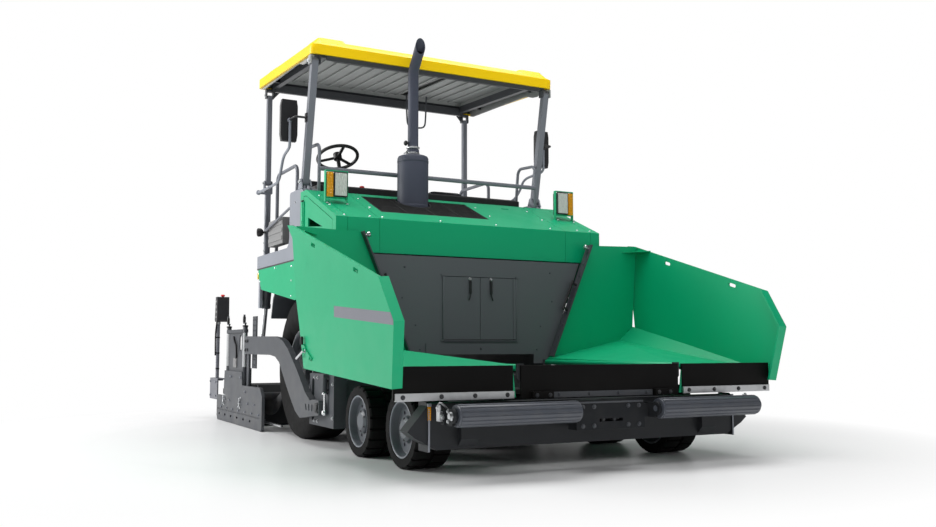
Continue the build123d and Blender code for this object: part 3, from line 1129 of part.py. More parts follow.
def side_shields():
    """End gates that slide on the ground beside the screed, with their height spindles."""
    front, rear = AUGER_X + 320, SHIELD_REAR
    inner = BODY_HALF - SHIELD_T
    gate = plate(
        "y", inner, BODY_HALF,
        (front - 30, SCREED_CLEAR), (rear + 40, SCREED_CLEAR), (rear, 50), (rear, 280), (rear + 310, 280),
        (rear + 340, 560), (SCREED_FRONT - 110, 560), (SCREED_FRONT - 90, 420), (front - 80, 420),
        (front, 340), (front, 40),
    )
    runner = block((rear + 60, front - 60), (BODY_HALF - 1, BODY_HALF), (SCREED_CLEAR, 40))
    gate -= block((rear + 40, front - 60), (BODY_HALF - 8, BODY_HALF + 1), (120, 135))
    step = 260
    for number in range(int((front - rear - 200) / step)):
        gate -= slot("y", inner - 1, BODY_HALF + 1, rear + 130 + step * number, 75, 60, 24)
    spindle_y = inner - 2.5
    spindles = []
    for x in SPINDLE_X:
        crank_z = SPINDLE_TOP + 33
        spindles.append(rod("z", 300, SPINDLE_TOP, x, spindle_y, SPINDLE_R))
        spindles.append(rod("z", SPINDLE_TOP, crank_z + 12, x, spindle_y, 9))
        spindles.append(block((x - 60, x + 12), (spindle_y - 10, spindle_y + 10), (crank_z, crank_z + 12)))
        spindles.append(rod("z", crank_z + 10, crank_z + 97, x - 50, spindle_y, 11))
    upright_x = (SPINDLE_X[1] + 30, SPINDLE_X[0] - 30)
    upright = block(upright_x, (inner - 8, inner + 4), (540, SPINDLE_TOP - 60))
    upright -= slot("y", inner - 9, inner + 5, upright_x[1] - 130, 860, 170, 90, 90)
    head = block((upright_x[0] - 30, upright_x[1] + 30), (inner - 34, inner + 26),
                 (SPINDLE_TOP - 60, SPINDLE_TOP - 25))
    return both(fuse(gate, runner, *spindles, upright, head))


def screed_controls():
    """Remote consoles on posts behind the end gates."""
    x = 200 - REAR_REACH
    bracket = block((-REAR_REACH, SHIELD_REAR), (BODY_HALF - 95, BODY_HALF), (220, 460))
    bracket -= block((-REAR_REACH + 15, SHIELD_REAR + 1), (BODY_HALF - 96, BODY_HALF - 15), (235, 445))
    cap = block((x - 40, x + 40), (BODY_HALF - 95, BODY_HALF), (430, 460))
    post = rod("z", 440, 1110, x, BODY_HALF - 35, 20)
    desk = plate("y", BODY_HALF - 145, BODY_HALF - 5, (x - 60, 1130), (x - 30, 1110), (x + 40, 1110),
                 (x + 60, 1130), (x + 50, 1400), (x - 30, 1400))
    desk -= block((x - 70, x - 20), (BODY_HALF - 130, BODY_HALF - 20), (1290, 1385))
    return both(fuse(bracket, cap, post, desk))


def auger():
    """Left-hand spreading auger: a helical flight on its shaft, by twisting a sector along it."""
    low, high = AUGER_SPAN
    shaft = rod("y", 62, high, AUGER_X, AUGER_Z, AUGER_SHAFT_R)
    half = AUGER_BLADE / 2
    inner = AUGER_SHAFT_R - 5
    corners = [Vector(inner, 0).rotate(Axis.Z, -half), Vector(AUGER_R, 0).rotate(Axis.Z, -half)]
    tip = ThreePointArc(corners[1], (AUGER_R, 0), corners[1].rotate(Axis.Z, 2 * half))
    rest = Polyline(tip @ 1, corners[0].rotate(Axis.Z, 2 * half), corners[0], corners[1])
    section = make_face(Wire([*tip.edges(), *rest.edges()]))
    turn = 360 * (high - low) / AUGER_PITCH
    flight = Solid.extrude_linear_with_rotation(section.face(), (0, 0, 0), (0, 0, high - low), turn)
    place = Plane(origin=(AUGER_X, low, AUGER_Z), z_dir=ALONG["y"])
    return shaft + place * flight


def lift_direction():
    """Unit vector from the top pin to the eye on the arm, and the distance."""
    dx, dz = LIFT_EYE[0] - LIFT_TOP[0], LIFT_EYE[1] - LIFT_TOP[1]
    length = hypot(dx, dz)
    return dx / length, dz / length, length


def lift_bar(start, end, radius):
    """A round bar on the cylinder's line, between two distances from the top pin."""
    ux, uz, _ = lift_direction()
    ends = [(LIFT_TOP[0] + ux * far, LIFT_Y, LIFT_TOP[1] + uz * far) for far in (start, end)]
    return bar(*ends, radius)


def lift_barrels():
    eye = rod("y", LIFT_Y - 28, LIFT_Y + 28, *LIFT_TOP, 32)
    barrel = fuse(eye, lift_bar(20, 70, 27), lift_bar(65, BARREL_LENGTH, BARREL_R),
                  lift_bar(BARREL_LENGTH - 40, BARREL_LENGTH, BARREL_R + 6))
    barrel -= rod("y", LIFT_Y - 60, LIFT_Y + 60, *LIFT_TOP, LIFT_PIN_R + FIT)
    bottom = BARREL_LENGTH - 20 - LIFT_STROKE - GAP
    return both(barrel - lift_bar(bottom, BARREL_LENGTH + 1, LIFT_ROD_R + FIT))


def lift_rods():
    length = lift_direction()[2]
    eye = rod("y", LIFT_Y - 25, LIFT_Y + 25, *LIFT_EYE, 42)
    whole = eye + lift_bar(BARREL_LENGTH - 20, length - 35, LIFT_ROD_R)
    return both(whole - rod("y", LIFT_Y - 60, LIFT_Y + 60, *LIFT_EYE, LIFT_PIN_R + LIFT_EYE_SLACK))


# ---- write every piece
FIXED = [
    main_frame, front_bogies, final_drives, conveyor_deck, conveyor_chains, bulkhead, hood,
    hood_hinges, hood_grille, engine, exhaust, platform, fenders, skirts, guard_rails, seats,
    console, headlamps, mirrors, centre_apron, steering_wheel, push_yoke, front_posts, rear_posts,
    roof_frame, roof, tow_arms, screed_body, side_shields, screed_controls, lift_barrels, lift_rods,
]
PAIRS = [bay_door, hood_door, wing, side_apron, push_roller, rear_tyre, rear_rim, auger]
for make in FIXED:
    save(make.__name__, make())
for make in PAIRS:
    save_pair(make.__name__, make())
for place, wheel_x in FRONT_WHEEL_X.items():
    save_pair(f"knuckle_{place}", knuckle(wheel_x))
    save_pair(f"tyre_{place}", front_tyre(wheel_x))
    save_pair(f"rim_{place}", front_rim(wheel_x))
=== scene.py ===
"""Looks of the wheeled asphalt paver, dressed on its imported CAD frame.  Metres, +X forwards, +Z up."""

import json
import math

import bmesh
import bpy
from mathutils import Matrix, Vector


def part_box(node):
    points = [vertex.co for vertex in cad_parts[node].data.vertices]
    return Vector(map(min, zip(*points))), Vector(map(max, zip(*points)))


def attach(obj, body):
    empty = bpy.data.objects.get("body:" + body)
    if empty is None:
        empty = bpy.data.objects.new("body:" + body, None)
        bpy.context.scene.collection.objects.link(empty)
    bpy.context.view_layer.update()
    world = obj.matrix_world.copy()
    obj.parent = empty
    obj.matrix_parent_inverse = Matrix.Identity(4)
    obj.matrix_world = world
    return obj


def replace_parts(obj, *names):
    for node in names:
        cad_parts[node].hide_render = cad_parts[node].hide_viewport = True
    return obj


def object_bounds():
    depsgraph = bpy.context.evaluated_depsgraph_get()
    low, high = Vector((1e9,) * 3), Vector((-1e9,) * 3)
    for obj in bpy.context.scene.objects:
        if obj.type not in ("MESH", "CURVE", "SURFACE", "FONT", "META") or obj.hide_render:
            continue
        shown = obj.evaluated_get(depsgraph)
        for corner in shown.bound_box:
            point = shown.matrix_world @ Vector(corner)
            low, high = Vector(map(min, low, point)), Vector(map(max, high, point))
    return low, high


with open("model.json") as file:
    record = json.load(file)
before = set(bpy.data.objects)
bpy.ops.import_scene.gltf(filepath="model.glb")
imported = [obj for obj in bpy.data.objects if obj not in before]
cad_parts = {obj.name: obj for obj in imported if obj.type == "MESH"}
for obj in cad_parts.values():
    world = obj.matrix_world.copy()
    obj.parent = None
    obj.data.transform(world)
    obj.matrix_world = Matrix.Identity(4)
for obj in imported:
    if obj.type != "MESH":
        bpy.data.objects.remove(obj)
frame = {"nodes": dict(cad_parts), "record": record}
NODES = frame["nodes"]
SCENE = bpy.context.scene
cad_low, cad_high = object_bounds()

# every place below is measured from the rear axle, on the ground, as in the CAD
wheel_low, wheel_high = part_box("rear_tyre_left")
AXLE = Vector(((wheel_low.x + wheel_high.x) / 2, 0, cad_low.z))
UP = (0, 0, 1)
FORWARD = (1, 0, 0)
BACK = (-1, 0, 0)
LEFT = (0, 1, 0)
SHARP = math.radians(38)  # an edge that turns more than this is rounded


def span(node):
    """Lowest and highest corner of a CAD node, from the rear axle."""
    low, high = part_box(node)
    return low - AXLE, high - AXLE


def add_object(name, data):
    made = bpy.data.objects.new(name, data)
    SCENE.collection.objects.link(made)
    return made


def put(thing, **values):
    """Sets several properties of a thing at once."""
    for key, value in values.items():
        setattr(thing, key, value)
    return thing


def steps(start, step, count):
    return [start + number * step for number in range(count)]


def aim(made, at, direction):
    """Puts a camera or a lamp in its place, looking in a direction."""
    turn = direction.to_track_quat("-Z", "Y")
    put(made, location=at, rotation_mode="QUATERNION", rotation_quaternion=turn)


# ---- camera, at the photograph's viewing angle
CAMERA_AT = Vector((8.120, -3.807, 0.829))
CAMERA_YAW = math.radians(27.947)
CAMERA_PITCH = math.radians(5.027)
CAMERA_LENS = 36.08
CAMERA_FILM = 36


def make_camera():
    camera = add_object("camera", bpy.data.cameras.new("camera"))
    flat = math.cos(CAMERA_PITCH)
    look = (-math.cos(CAMERA_YAW) * flat, math.sin(CAMERA_YAW) * flat, math.sin(CAMERA_PITCH))
    aim(camera, CAMERA_AT, Vector(look))
    put(camera.data, lens=CAMERA_LENS, sensor_width=CAMERA_FILM)
    SCENE.camera = camera


# ---- materials
def srgb(red, green, blue):
    """Linear colour of a display colour given in 0 to 255."""
    return tuple(
        value / 255 / 12.92 if value <= 10 else ((value / 255 + 0.055) / 1.055) ** 2.4
        for value in (red, green, blue)
    ) + (1.0,)


def shade(colour, factor):
    return tuple(min(1.0, value * factor) for value in colour[:3]) + (1.0,)


def add_node(tree, kind, inputs=None, **settings):
    """A shader node with its settings, and with a socket or a plain value on each named input."""
    node = put(tree.nodes.new(kind), **settings)
    for key, value in (inputs or {}).items():
        if isinstance(value, bpy.types.NodeSocket):
            tree.links.new(value, node.inputs[key])
        else:
            node.inputs[key].default_value = value
    return node


class Finish:
    """A procedural material: a Principled shader with noise in its colour, gloss and relief."""

    def __init__(self, name, colour, roughness, metallic=0.0, coat=0, specular=0.5):
        self.material = bpy.data.materials.new(name)
        self.material.use_nodes = True
        self.tree = self.material.node_tree
        self.shader = self.tree.nodes["Principled BSDF"]
        for key, value in (
            ("Base Color", colour), ("Roughness", roughness), ("Metallic", metallic),
            ("Coat Weight", coat), ("Coat Roughness", 0.12), ("Specular IOR Level", specular),
        ):
            self.shader.inputs[key].default_value = value
        self.place = self.node("ShaderNodeTexCoord").outputs["Object"]
        self.colour = colour  # what the next tint is laid over: a colour, or a socket

    def node(self, kind, inputs=None, **settings):
        return add_node(self.tree, kind, inputs, **settings)

    def feed(self, key, socket):
        self.tree.links.new(socket, self.shader.inputs[key])

    def math(self, operation, first, second=0):
        """One sum on two values, each a socket or a number."""
        return self.node("ShaderNodeMath", {0: first, 1: second}, operation=operation).outputs[0]

    def noise(self, scale, detail=3.0, stretch=None):
        """The grey output of a noise at that many features to the metre."""
        place = self.place
        if stretch:
            place = self.node("ShaderNodeMapping", {"Vector": place, "Scale": stretch}).outputs["Vector"]
        inputs = {"Vector": place, "Scale": scale, "Detail": detail}
        return self.node("ShaderNodeTexNoise", inputs).outputs["Fac"]

    def along(self, direction):
        """Distance along a direction, in the piece's own coordinates."""
        inputs = {0: self.place, 1: direction}
        return self.node("ShaderNodeVectorMath", inputs, operation="DOT_PRODUCT").outputs["Value"]

    def ramp(self, value, low, high):
        """Value spread from 0 at low to 1 at high."""
        inputs = {"Value": value, "From Min": low, "From Max": high}
        return self.node("ShaderNodeMapRange", inputs).outputs["Result"]

    def tint(self, factor, colour, most=1.0):
        """Lays colour over what is there, by factor times most."""
        inputs = {"Factor": self.math("MULTIPLY", factor, most), "A": self.colour, "B": colour}
        self.colour = self.node("ShaderNodeMix", inputs, data_type="RGBA").outputs["Result"]
        self.feed("Base Color", self.colour)

    def gloss(self, factor, low, high):
        """Roughness from low to high, by factor."""
        inputs = {"Value": factor, "To Min": low, "To Max": high}
        self.feed("Roughness", self.node("ShaderNodeMapRange", inputs).outputs["Result"])

    def relief(self, height, strength, distance):
        inputs = {"Height": height, "Strength": strength, "Distance": distance}
        self.feed("Normal", self.node("ShaderNodeBump", inputs).outputs["Normal"])


DUST = srgb(150, 143, 132)
WHITE = (1, 1, 1, 1)


def enamel(name, colour, roughness, coat=0.05, dust=0.12, specular=0.4):
    """Sprayed machine paint: faint cloudiness, orange peel, and dust towards the ground."""
    paint = Finish(name, colour, roughness, coat=coat, specular=specular)
    paint.tint(paint.ramp(paint.noise(1.3, 4), 0.35, 0.7), shade(colour, 1.1), 0.5)
    paint.tint(paint.ramp(paint.noise(26, 5), 0.62, 0.78), shade(colour, 0.84), 0.3)
    low_down = paint.ramp(paint.along(UP), 1.1, 0.0)
    patches = paint.ramp(paint.noise(9, 8), 0.4, 0.75)
    paint.tint(paint.math("MULTIPLY", low_down, patches), DUST, dust)
    paint.gloss(paint.noise(5, 6), roughness - 0.06, roughness + 0.14)
    paint.relief(paint.noise(260, 2), 0.05, 0.001)
    return paint


def rubber(name, colour, roughness, dust):
    """Black rubber with a greyed bloom and a fine grain."""
    skin = Finish(name, colour, roughness, specular=0.1)
    skin.tint(skin.ramp(skin.noise(7, 7), 0.45, 0.72), shade(colour, 1.7), 0.5)
    skin.tint(skin.ramp(skin.along(UP), 0.9, 0.0), DUST, dust * 0.3)
    skin.gloss(skin.noise(14, 5), roughness - 0.1, roughness + 0.15)
    skin.relief(skin.noise(420, 3), 0.25, 0.0006)
    return skin


def steel(name, colour, roughness=0.3):
    """Bare or zinc-plated steel, brushed along X."""
    brushed = (1, 30, 30)
    metal = Finish(name, colour, roughness, metallic=1.0)
    metal.tint(metal.ramp(metal.noise(11, 8), 0.5, 0.75), shade(colour, 0.62), 0.5)
    metal.gloss(metal.noise(40, 3, brushed), roughness - 0.08, roughness + 0.18)
    metal.relief(metal.noise(90, 2, brushed), 0.12, 0.0004)
    return metal


def plastic(name, colour, roughness=0.5, grain=0.3):
    """Moulded plastic or vinyl with a fine leather-like grain."""
    mould = Finish(name, colour, roughness)
    mould.tint(mould.ramp(mould.noise(3, 4), 0.4, 0.7), shade(colour, 1.35), 0.4)
    cells = mould.node("ShaderNodeTexVoronoi", {"Vector": mould.place, "Scale": 380})
    mould.relief(cells.outputs["Distance"], grain, 0.0005)
    mould.gloss(mould.noise(18, 4), roughness - 0.08, roughness + 0.1)
    return mould


def glass(name, colour, roughness=0.08):
    """Lens glass with moulded ribs."""
    lens = Finish(name, colour, roughness, coat=0.6)
    lens.shader.inputs["Transmission Weight"].default_value = 0.25
    lens.tint(lens.ramp(lens.noise(60, 2), 0.45, 0.6), shade(colour, 0.85), 0.6)
    ribs = lens.node("ShaderNodeTexWave", {"Vector": lens.place, "Scale": 30}, bands_direction="Z")
    lens.relief(ribs.outputs["Fac"], 0.5, 0.001)
    return lens


GREEN = enamel("green_enamel", srgb(0, 163, 112), 0.36, coat=0.06, dust=0.06, specular=0.3)
PANEL = enamel("panel_enamel", srgb(88, 92, 96), 0.44, dust=0.05)
# SHADED is a darker copy of the frame paint: partly the parts' own darker paint, partly painted shade for the
# shadow on the beam and push yoke under the rollers; the screed body takes it too
SHADED = enamel("painted_shade_enamel", srgb(32, 34, 37), 0.5, coat=0, dust=0.03, specular=0.15)
GRILLE = plastic("grille_moulding", srgb(7, 9, 9), 0.65, grain=0.1)
DARK = enamel("frame_enamel", srgb(64, 67, 72), 0.44)
LIGHT = enamel("light_enamel", srgb(132, 136, 145), 0.4)
TUBE = enamel("tube_enamel", srgb(112, 115, 123), 0.4, coat=0.1)
RIM = enamel("rim_enamel", srgb(92, 96, 102), 0.38, dust=0.1, specular=0.3)
STACK = enamel("stack_enamel", srgb(64, 68, 82), 0.5, coat=0)
YELLOW = enamel("roof_gelcoat", srgb(244, 202, 0), 0.36, coat=0.04, dust=0, specular=0.25)
BLACK = plastic("black_moulding", srgb(30, 30, 32))
SEAT = plastic("seat_vinyl", srgb(42, 42, 46), 0.55, grain=0.5)
APRON = rubber("apron_rubber", srgb(10, 10, 11), 0.5, dust=0.1)
TYRE = rubber("tyre_rubber", srgb(15, 15, 16), 0.64, dust=0.03)
STEEL = steel("bare_steel", srgb(200, 202, 204))
CHROME = steel("chrome", srgb(226, 228, 230), 0.16)
CAST = enamel("cast_parts", srgb(52, 54, 58), 0.55, coat=0, dust=0.3)
ROLLER = enamel("roller_paint", srgb(74, 78, 86), 0.36, coat=0.1)
STRIPE = enamel("grey_stripe", srgb(112, 113, 122), 0.4, coat=0.1)
LOCKER = enamel("locker_enamel", srgb(128, 128, 128), 0.5, coat=0)
AMBER = glass("amber_lens", srgb(244, 168, 0))
CLEAR = glass("lamp_lens", srgb(225, 228, 222))
REFLECTOR = glass("yellow_reflector", srgb(240, 216, 30), 0.2)
RED = plastic("red_button", srgb(205, 30, 28), 0.35, grain=0.1)
HOSE = rubber("hose_rubber", srgb(26, 26, 28), 0.45, dust=0)

BEAM_SHADE_BACK = 2.60, 2.64  # where painted shade darkens the frame's paint on the cross beam
CANOPY_PITCH = math.radians(3.26)
CANOPY_LINING = 0.082, 0.084  # above the canopy's front rim
CANOPY_VALANCE = 0.0405, 0.0395  # in from the canopy's side
REMOTE_FOOT = 1.106, 1.108  # where the remote's box begins on its post


def make_frame_finish():
    """Frame paint, with painted shade darkening the cross beam at the front."""
    paint = enamel("chassis_enamel_beam_shade", srgb(64, 67, 72), 0.46, coat=0, dust=0.06, specular=0.3)
    # painted shade: the cross beam, in shadow under the rollers, is tinted darker
    beam = paint.ramp(paint.along(FORWARD), *(AXLE.x + x for x in BEAM_SHADE_BACK))
    paint.tint(beam, srgb(36, 38, 41), 0.9)
    return paint


def make_roof_frame_finish():
    """Dark rails and fascia, with a mid-grey lining, ribs and side valances."""
    low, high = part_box("roof")
    slope = Vector((math.sin(CANOPY_PITCH), 0, math.cos(CANOPY_PITCH)))
    front_rim = Vector((high.x, 0, low.z)).dot(slope)
    paint = enamel("canopy_enamel", srgb(62, 64, 68), 0.45, dust=0)
    raised = paint.ramp(paint.along(slope), *(front_rim + z for z in CANOPY_LINING))
    sideways = paint.math("ABSOLUTE", paint.along(LEFT))
    edge = paint.ramp(sideways, *(high.y - y for y in CANOPY_VALANCE))
    paint.tint(paint.math("MAXIMUM", raised, edge), srgb(142, 144, 143))
    return paint


def make_console_finish():
    """Grey post and bracket, with the remote's own box in black."""
    paint = enamel("remote_enamel", srgb(96, 98, 106), 0.42, coat=0.1)
    paint.tint(paint.ramp(paint.along(UP), *(AXLE.z + z for z in REMOTE_FOOT)), srgb(46, 46, 49))
    return paint


CAD_FINISH = {
    "green_paint": GREEN, "frame_paint": DARK, "light_paint": TUBE, "rim_paint": RIM,
    "exhaust_paint": STACK, "roof_shell": YELLOW, "black_plastic": BLACK, "seat_cover": SEAT,
    "apron_rubber": APRON, "tyre_rubber": TYRE, "bare_steel": STEEL, "cast_parts": CAST,
    "engine_metal": CAST,
}
# push_yoke and screed_body take SHADED, whose darkness is partly painted shade; main_frame's finish paints
# shade on its cross beam
NODE_FINISH = {
    "skirts": LIGHT, "hood_grille": GRILLE, "bulkhead": PANEL, "bay_door_left": PANEL,
    "bay_door_right": PANEL, "push_yoke": SHADED, "main_frame": make_frame_finish(),
    "screed_body": SHADED, "conveyor_chains": CAST, "auger_left": CAST, "auger_right": CAST,
    "push_roller_left": ROLLER, "push_roller_right": ROLLER,
    "roof_frame": make_roof_frame_finish(), "screed_controls": make_console_finish(),
}
EDGE_ROUND = 0.003  # rounding of the CAD's sharp edges
FINE_ROUND = 0.0015
FINE_NODES = {"guard_rails", "steering_wheel", "hood_grille", "conveyor_chains", "mirrors", "headlamps"}
UNROUNDED = {"auger_left", "auger_right", "conveyor_chains"}
CAD_WELD = 0.00002
CAD_FLAT = math.radians(0.4)  # faces that turn less than this become one


def modify(made, kind, **settings):
    return put(made.modifiers.new(kind, kind), **settings)


def round_edges(made, width):
    modify(made, "BEVEL", width=width, segments=2, limit_method="ANGLE", angle_limit=SHARP,
           harden_normals=True)


def dress_cad_nodes():
    """Gives every carried-over node its finish, and its sharp edges a small round."""
    for row in frame["record"]["subparts"]:
        name = row["node"]
        node = NODES[name]
        node.data.materials.clear()
        finish = NODE_FINISH.get(name, CAD_FINISH[row["material_slot"]])
        node.data.materials.append(finish.material)
        if name in UNROUNDED:
            continue
        modify(node, "WELD", merge_threshold=CAD_WELD)
        modify(node, "DECIMATE", decimate_type="DISSOLVE", angle_limit=CAD_FLAT)
        round_edges(node, FINE_ROUND if name in FINE_NODES else EDGE_ROUND)


# ---- small solids
SIDES = ("left", "right")  # a piece for each side is built on the left, and mirrored for the right
FINE_EDGE = 0.0012  # rounding of the small pieces' edges
JOINED = 0.00001  # points of one piece closer than this are one


def turned_to(out):
    """Turn that takes Z to a direction."""
    return Vector(out).to_track_quat("Z", "Y").to_matrix().to_4x4()


class Form:
    """Gathers small solids in one mesh, and makes a piece of them."""

    def __init__(self):
        self.mesh = bmesh.new()

    def prism(self, outline, along):
        """A flat plate: an outline of points, pushed along a vector."""
        near = [self.mesh.verts.new(point) for point in outline]
        far = [self.mesh.verts.new(Vector(point) + Vector(along)) for point in outline]
        self.mesh.faces.new(near)
        self.mesh.faces.new(reversed(far))
        for number, vertex in enumerate(near):
            following = (number + 1) % len(near)
            self.mesh.faces.new((vertex, far[number], far[following], near[following]))
        return self

    def box(self, x, y, z):
        """A box, each side given as (low, high)."""
        corners = [(x[0], y[0], z[0]), (x[1], y[0], z[0]), (x[1], y[1], z[0]), (x[0], y[1], z[0])]
        return self.prism(corners, (0, 0, z[1] - z[0]))

    def lathe(self, at, out, profile, sides=24):
        """A turned solid about the line from at towards out, its profile in (radius, distance)."""
        place = Matrix.Translation(at) @ turned_to(out)
        turns = [2 * math.pi * number / sides for number in range(sides)]
        rings = []
        for radius, far in profile:
            points = [place @ Vector((radius * math.cos(a), radius * math.sin(a), far)) for a in turns]
            rings.append([self.mesh.verts.new(point) for point in points])
        for near, far in zip(rings, rings[1:]):
            for number in range(sides):
                following = (number + 1) % sides
                self.mesh.faces.new((near[number], near[following], far[following], far[number]))
        self.mesh.faces.new(reversed(rings[0]))
        self.mesh.faces.new(rings[-1])
        return self

    def rod(self, start, end, radius, sides=20):
        start, end = Vector(start), Vector(end)
        return self.lathe(start, end - start, [(radius, 0), (radius, (end - start).length)], sides)

    def ball(self, at, radius):
        steps = [math.pi * number / 8 for number in range(1, 8)]
        return self.lathe(at, UP, [(radius * math.sin(a), -radius * math.cos(a)) for a in steps], 20)

    def hoop(self, at, out, radius, tube, sides=48):
        """A round ring about the line through at."""
        place = Matrix.Translation(at) @ turned_to(out)
        circle = [2 * math.pi * number / 8 for number in range(8)]
        section = [Vector((radius + tube * math.cos(a), 0, tube * math.sin(a))) for a in circle]
        loops = []
        for number in range(sides):
            around = place @ Matrix.Rotation(2 * math.pi * number / sides, 4, "Z")
            loops.append([self.mesh.verts.new(around @ point) for point in section])
        for number, loop in enumerate(loops):
            onward = loops[(number + 1) % sides]
            for step in range(8):
                after = (step + 1) % 8
                self.mesh.faces.new((loop[step], onward[step], onward[after], loop[after]))
        return self

    def bolts(self, places, size=0.01, out=LEFT):
        """Hexagon heads on their washers, size being half a head's width."""
        washer = [(size * 1.5, 0), (size * 1.5, size * 0.25)]
        head = [(size * 1.1, 0), (size * 1.1, size * 0.65), (size * 0.95, size * 0.8)]
        for at in places:
            self.lathe(at, out, washer, 16)
            self.lathe(Vector(at) + Vector(out).normalized() * size * 0.25, out, head, 6)
        return self

    def domes(self, places, size=0.009, out=LEFT):
        """Domed button heads."""
        profile = [(size, 0), (size * 0.92, size * 0.35), (size * 0.6, size * 0.6), (size * 0.2, size * 0.7)]
        for at in places:
            self.lathe(at, out, profile, 14)
        return self

    def tube(self, points, radius):
        """A smooth bent tube along a few points."""
        curve = put(bpy.data.curves.new("line", "CURVE"), dimensions="3D", bevel_depth=radius)
        spline = curve.splines.new("NURBS")
        spline.points.add(len(points) - 1)
        for knot, point in zip(spline.points, points):
            knot.co = (*point, 1)
        put(spline, order_u=3, use_endpoint_u=True)
        put(curve, resolution_u=8, bevel_resolution=3, use_fill_caps=True)
        line = bpy.data.objects.new("line", curve)
        mesh = bpy.data.meshes.new_from_object(line)
        self.mesh.from_mesh(mesh)
        bpy.data.objects.remove(line)
        bpy.data.curves.remove(curve)
        bpy.data.meshes.remove(mesh)
        return self

    def spring(self, start, end, radius, wire, turns):
        """A coil spring between two points."""
        start, along = Vector(start), Vector(end) - Vector(start)
        turn = turned_to(along)
        points = []
        for number in range(turns * 8 + 1):
            angle = math.pi * number / 4
            around = turn @ Vector((radius * math.cos(angle), radius * math.sin(angle), 0))
            points.append(start + along * (number / (turns * 8)) + around)
        return self.tube(points, wire)

    def piece(self, name, finish, side=None, body="chassis", edge=FINE_EDGE, slot=None):
        """Makes the piece, on one side or both or in the middle, and hands it to its body."""
        bmesh.ops.remove_doubles(self.mesh, verts=self.mesh.verts, dist=JOINED)
        if side == "both":
            copied = bmesh.ops.duplicate(self.mesh, geom=self.mesh.verts[:] + self.mesh.faces[:])
            for item in copied["geom"]:
                if isinstance(item, bmesh.types.BMVert):
                    item.co.y *= -1
        made = add_mesh(f"{name}_{side}" if side in SIDES else name, self.mesh, finish, side)
        made.data.set_sharp_from_angle(angle=SHARP)
        if edge:
            round_edges(made, edge)
        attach(made, body)
        return made


def add_mesh(name, form, finish, side):
    """A smooth piece from a bmesh about the rear axle, mirrored if it is for the right."""
    if side == "right":
        for vertex in form.verts:
            vertex.co.y *= -1
    bmesh.ops.recalc_face_normals(form, faces=form.faces)
    mesh = bpy.data.meshes.new(name)
    form.to_mesh(mesh)
    form.free()
    mesh.transform(Matrix.Translation(AXLE))
    mesh.shade_smooth()
    mesh.materials.append(finish.material)
    return add_object(name, mesh)


# ---- sizes of the CAD that the small pieces are placed by, from the rear axle
BODY_FACE = 1.275  # outside of the body and of the screed's end gates
FENDER_FACE = 1.25
BULKHEAD_FACE = 1.3
ARM_FACE = 1.27  # outside of the tow arms
PLATFORM = 1.73
HOOD_TOP = 2.178
HOOD_FRONT = 1.25
HOOD_FRONT_TOP = 1.86
HOOD_RISE = 0.419
HOOD_OUT = Vector((HOOD_RISE, 0, 1)).normalized()
WING_FOOT_Z = 0.5716  # foot and lean of a wing's outer face
WING_FOOT_Y = 1.569
WING_LEAN = 0.07168


def on_hood(x, y):
    return Vector((x, y, min(HOOD_TOP, HOOD_FRONT_TOP + HOOD_RISE * (HOOD_FRONT - x))))


def on_wing(x, z, proud=0.0):
    return Vector((x, WING_FOOT_Y + (z - WING_FOOT_Z) * WING_LEAN + proud, z))


# ---- hopper
def add_wing_stripe(side):
    """Grey stripe that rises a little towards the back of the wing's outer face."""
    corners = ((2.138, 1.027), (3.148, 0.952), (3.152, 0.978), (3.116, 1.029), (2.15, 1.103))
    stripe = Form().prism([on_wing(x, z, -0.001) for x, z in corners], (0, 0.002, 0))
    stripe.piece("wing_stripe", STRIPE, side, f"wing_{side}", edge=0.0003)


def add_wing_seal(side):
    """Bolted strip on the inner edge of the wing's rear plate, its grip and its top knob."""
    body = f"wing_{side}"
    foot, top, thick = Vector((0, 0.68, 0.74)), Vector((0, 1.1, 1.73)), 0.012
    along = (top - foot).normalized()
    inward = Vector((0, -along.z, along.y))
    back, front = 1.318, 1.398
    outline = [foot, top, top + inward * thick, foot + inward * thick]
    face = foot + inward * thick
    strip = Form().prism([point + Vector((back, 0, 0)) for point in outline], (front - back, 0, 0))
    bolt_x = Vector((front - 0.022, 0, 0))
    strip.bolts([face + along * far + bolt_x for far in steps(0.06, 0.118, 9)], 0.008, inward)
    strip.piece("wing_seal", DARK, side, body)
    grip_x = Vector((1.365, 0, 0))
    low, high = face + along * 0.44, face + along * 0.68
    stand = inward * 0.045 + grip_x
    grip = Form()
    for at in (low, high):
        grip.lathe(at + grip_x, inward, [(0.016, 0), (0.016, 0.008), (0.01, 0.012), (0.01, 0.045)], 12)
    grip.tube([low + stand - along * 0.02, low + stand, high + stand, high + stand + along * 0.02], 0.012)
    grip.piece("wing_grip", BLACK, side, body)
    knob_at = face + along * 1.035 + Vector((1.36, 0, 0))
    profile = [(0.01, 0), (0.01, 0.02), (0.021, 0.024), (0.021, 0.044), (0.014, 0.05)]
    Form().lathe(knob_at, inward, profile, 18).piece("wing_knob", STEEL, side, body)


def add_wing_lever(side):
    """Latch lever low on the outside of the wing: bracket, grip and pull bar."""
    body = f"wing_{side}"
    thick = 0.012
    corners = ((1.455, 0.845), (1.44, 0.79), (1.6, 0.72), (1.64, 0.735), (1.52, 0.8), (1.48, 0.845))
    bracket = Form().prism([on_wing(x, z) for x, z in corners], (0, thick, 0))
    bracket.bolts([on_wing(1.6, 0.738, thick), on_wing(1.47, 0.805, thick)], 0.008)
    bracket.piece("wing_latch", GREEN, side, body)
    grip = [(0.01, 0), (0.013, 0.008), (0.013, 0.05), (0.01, 0.062)]
    Form().lathe(on_wing(1.462, 0.838, 0.022), UP, grip, 16).piece("wing_latch_grip", BLACK, side, body)
    pull = Form().rod(on_wing(1.33, 0.735, 0.026), on_wing(1.51, 0.795, 0.026), 0.009)
    pull.bolts([on_wing(1.5, 0.79, thick)]).piece("wing_latch_bar", STEEL, side, body)


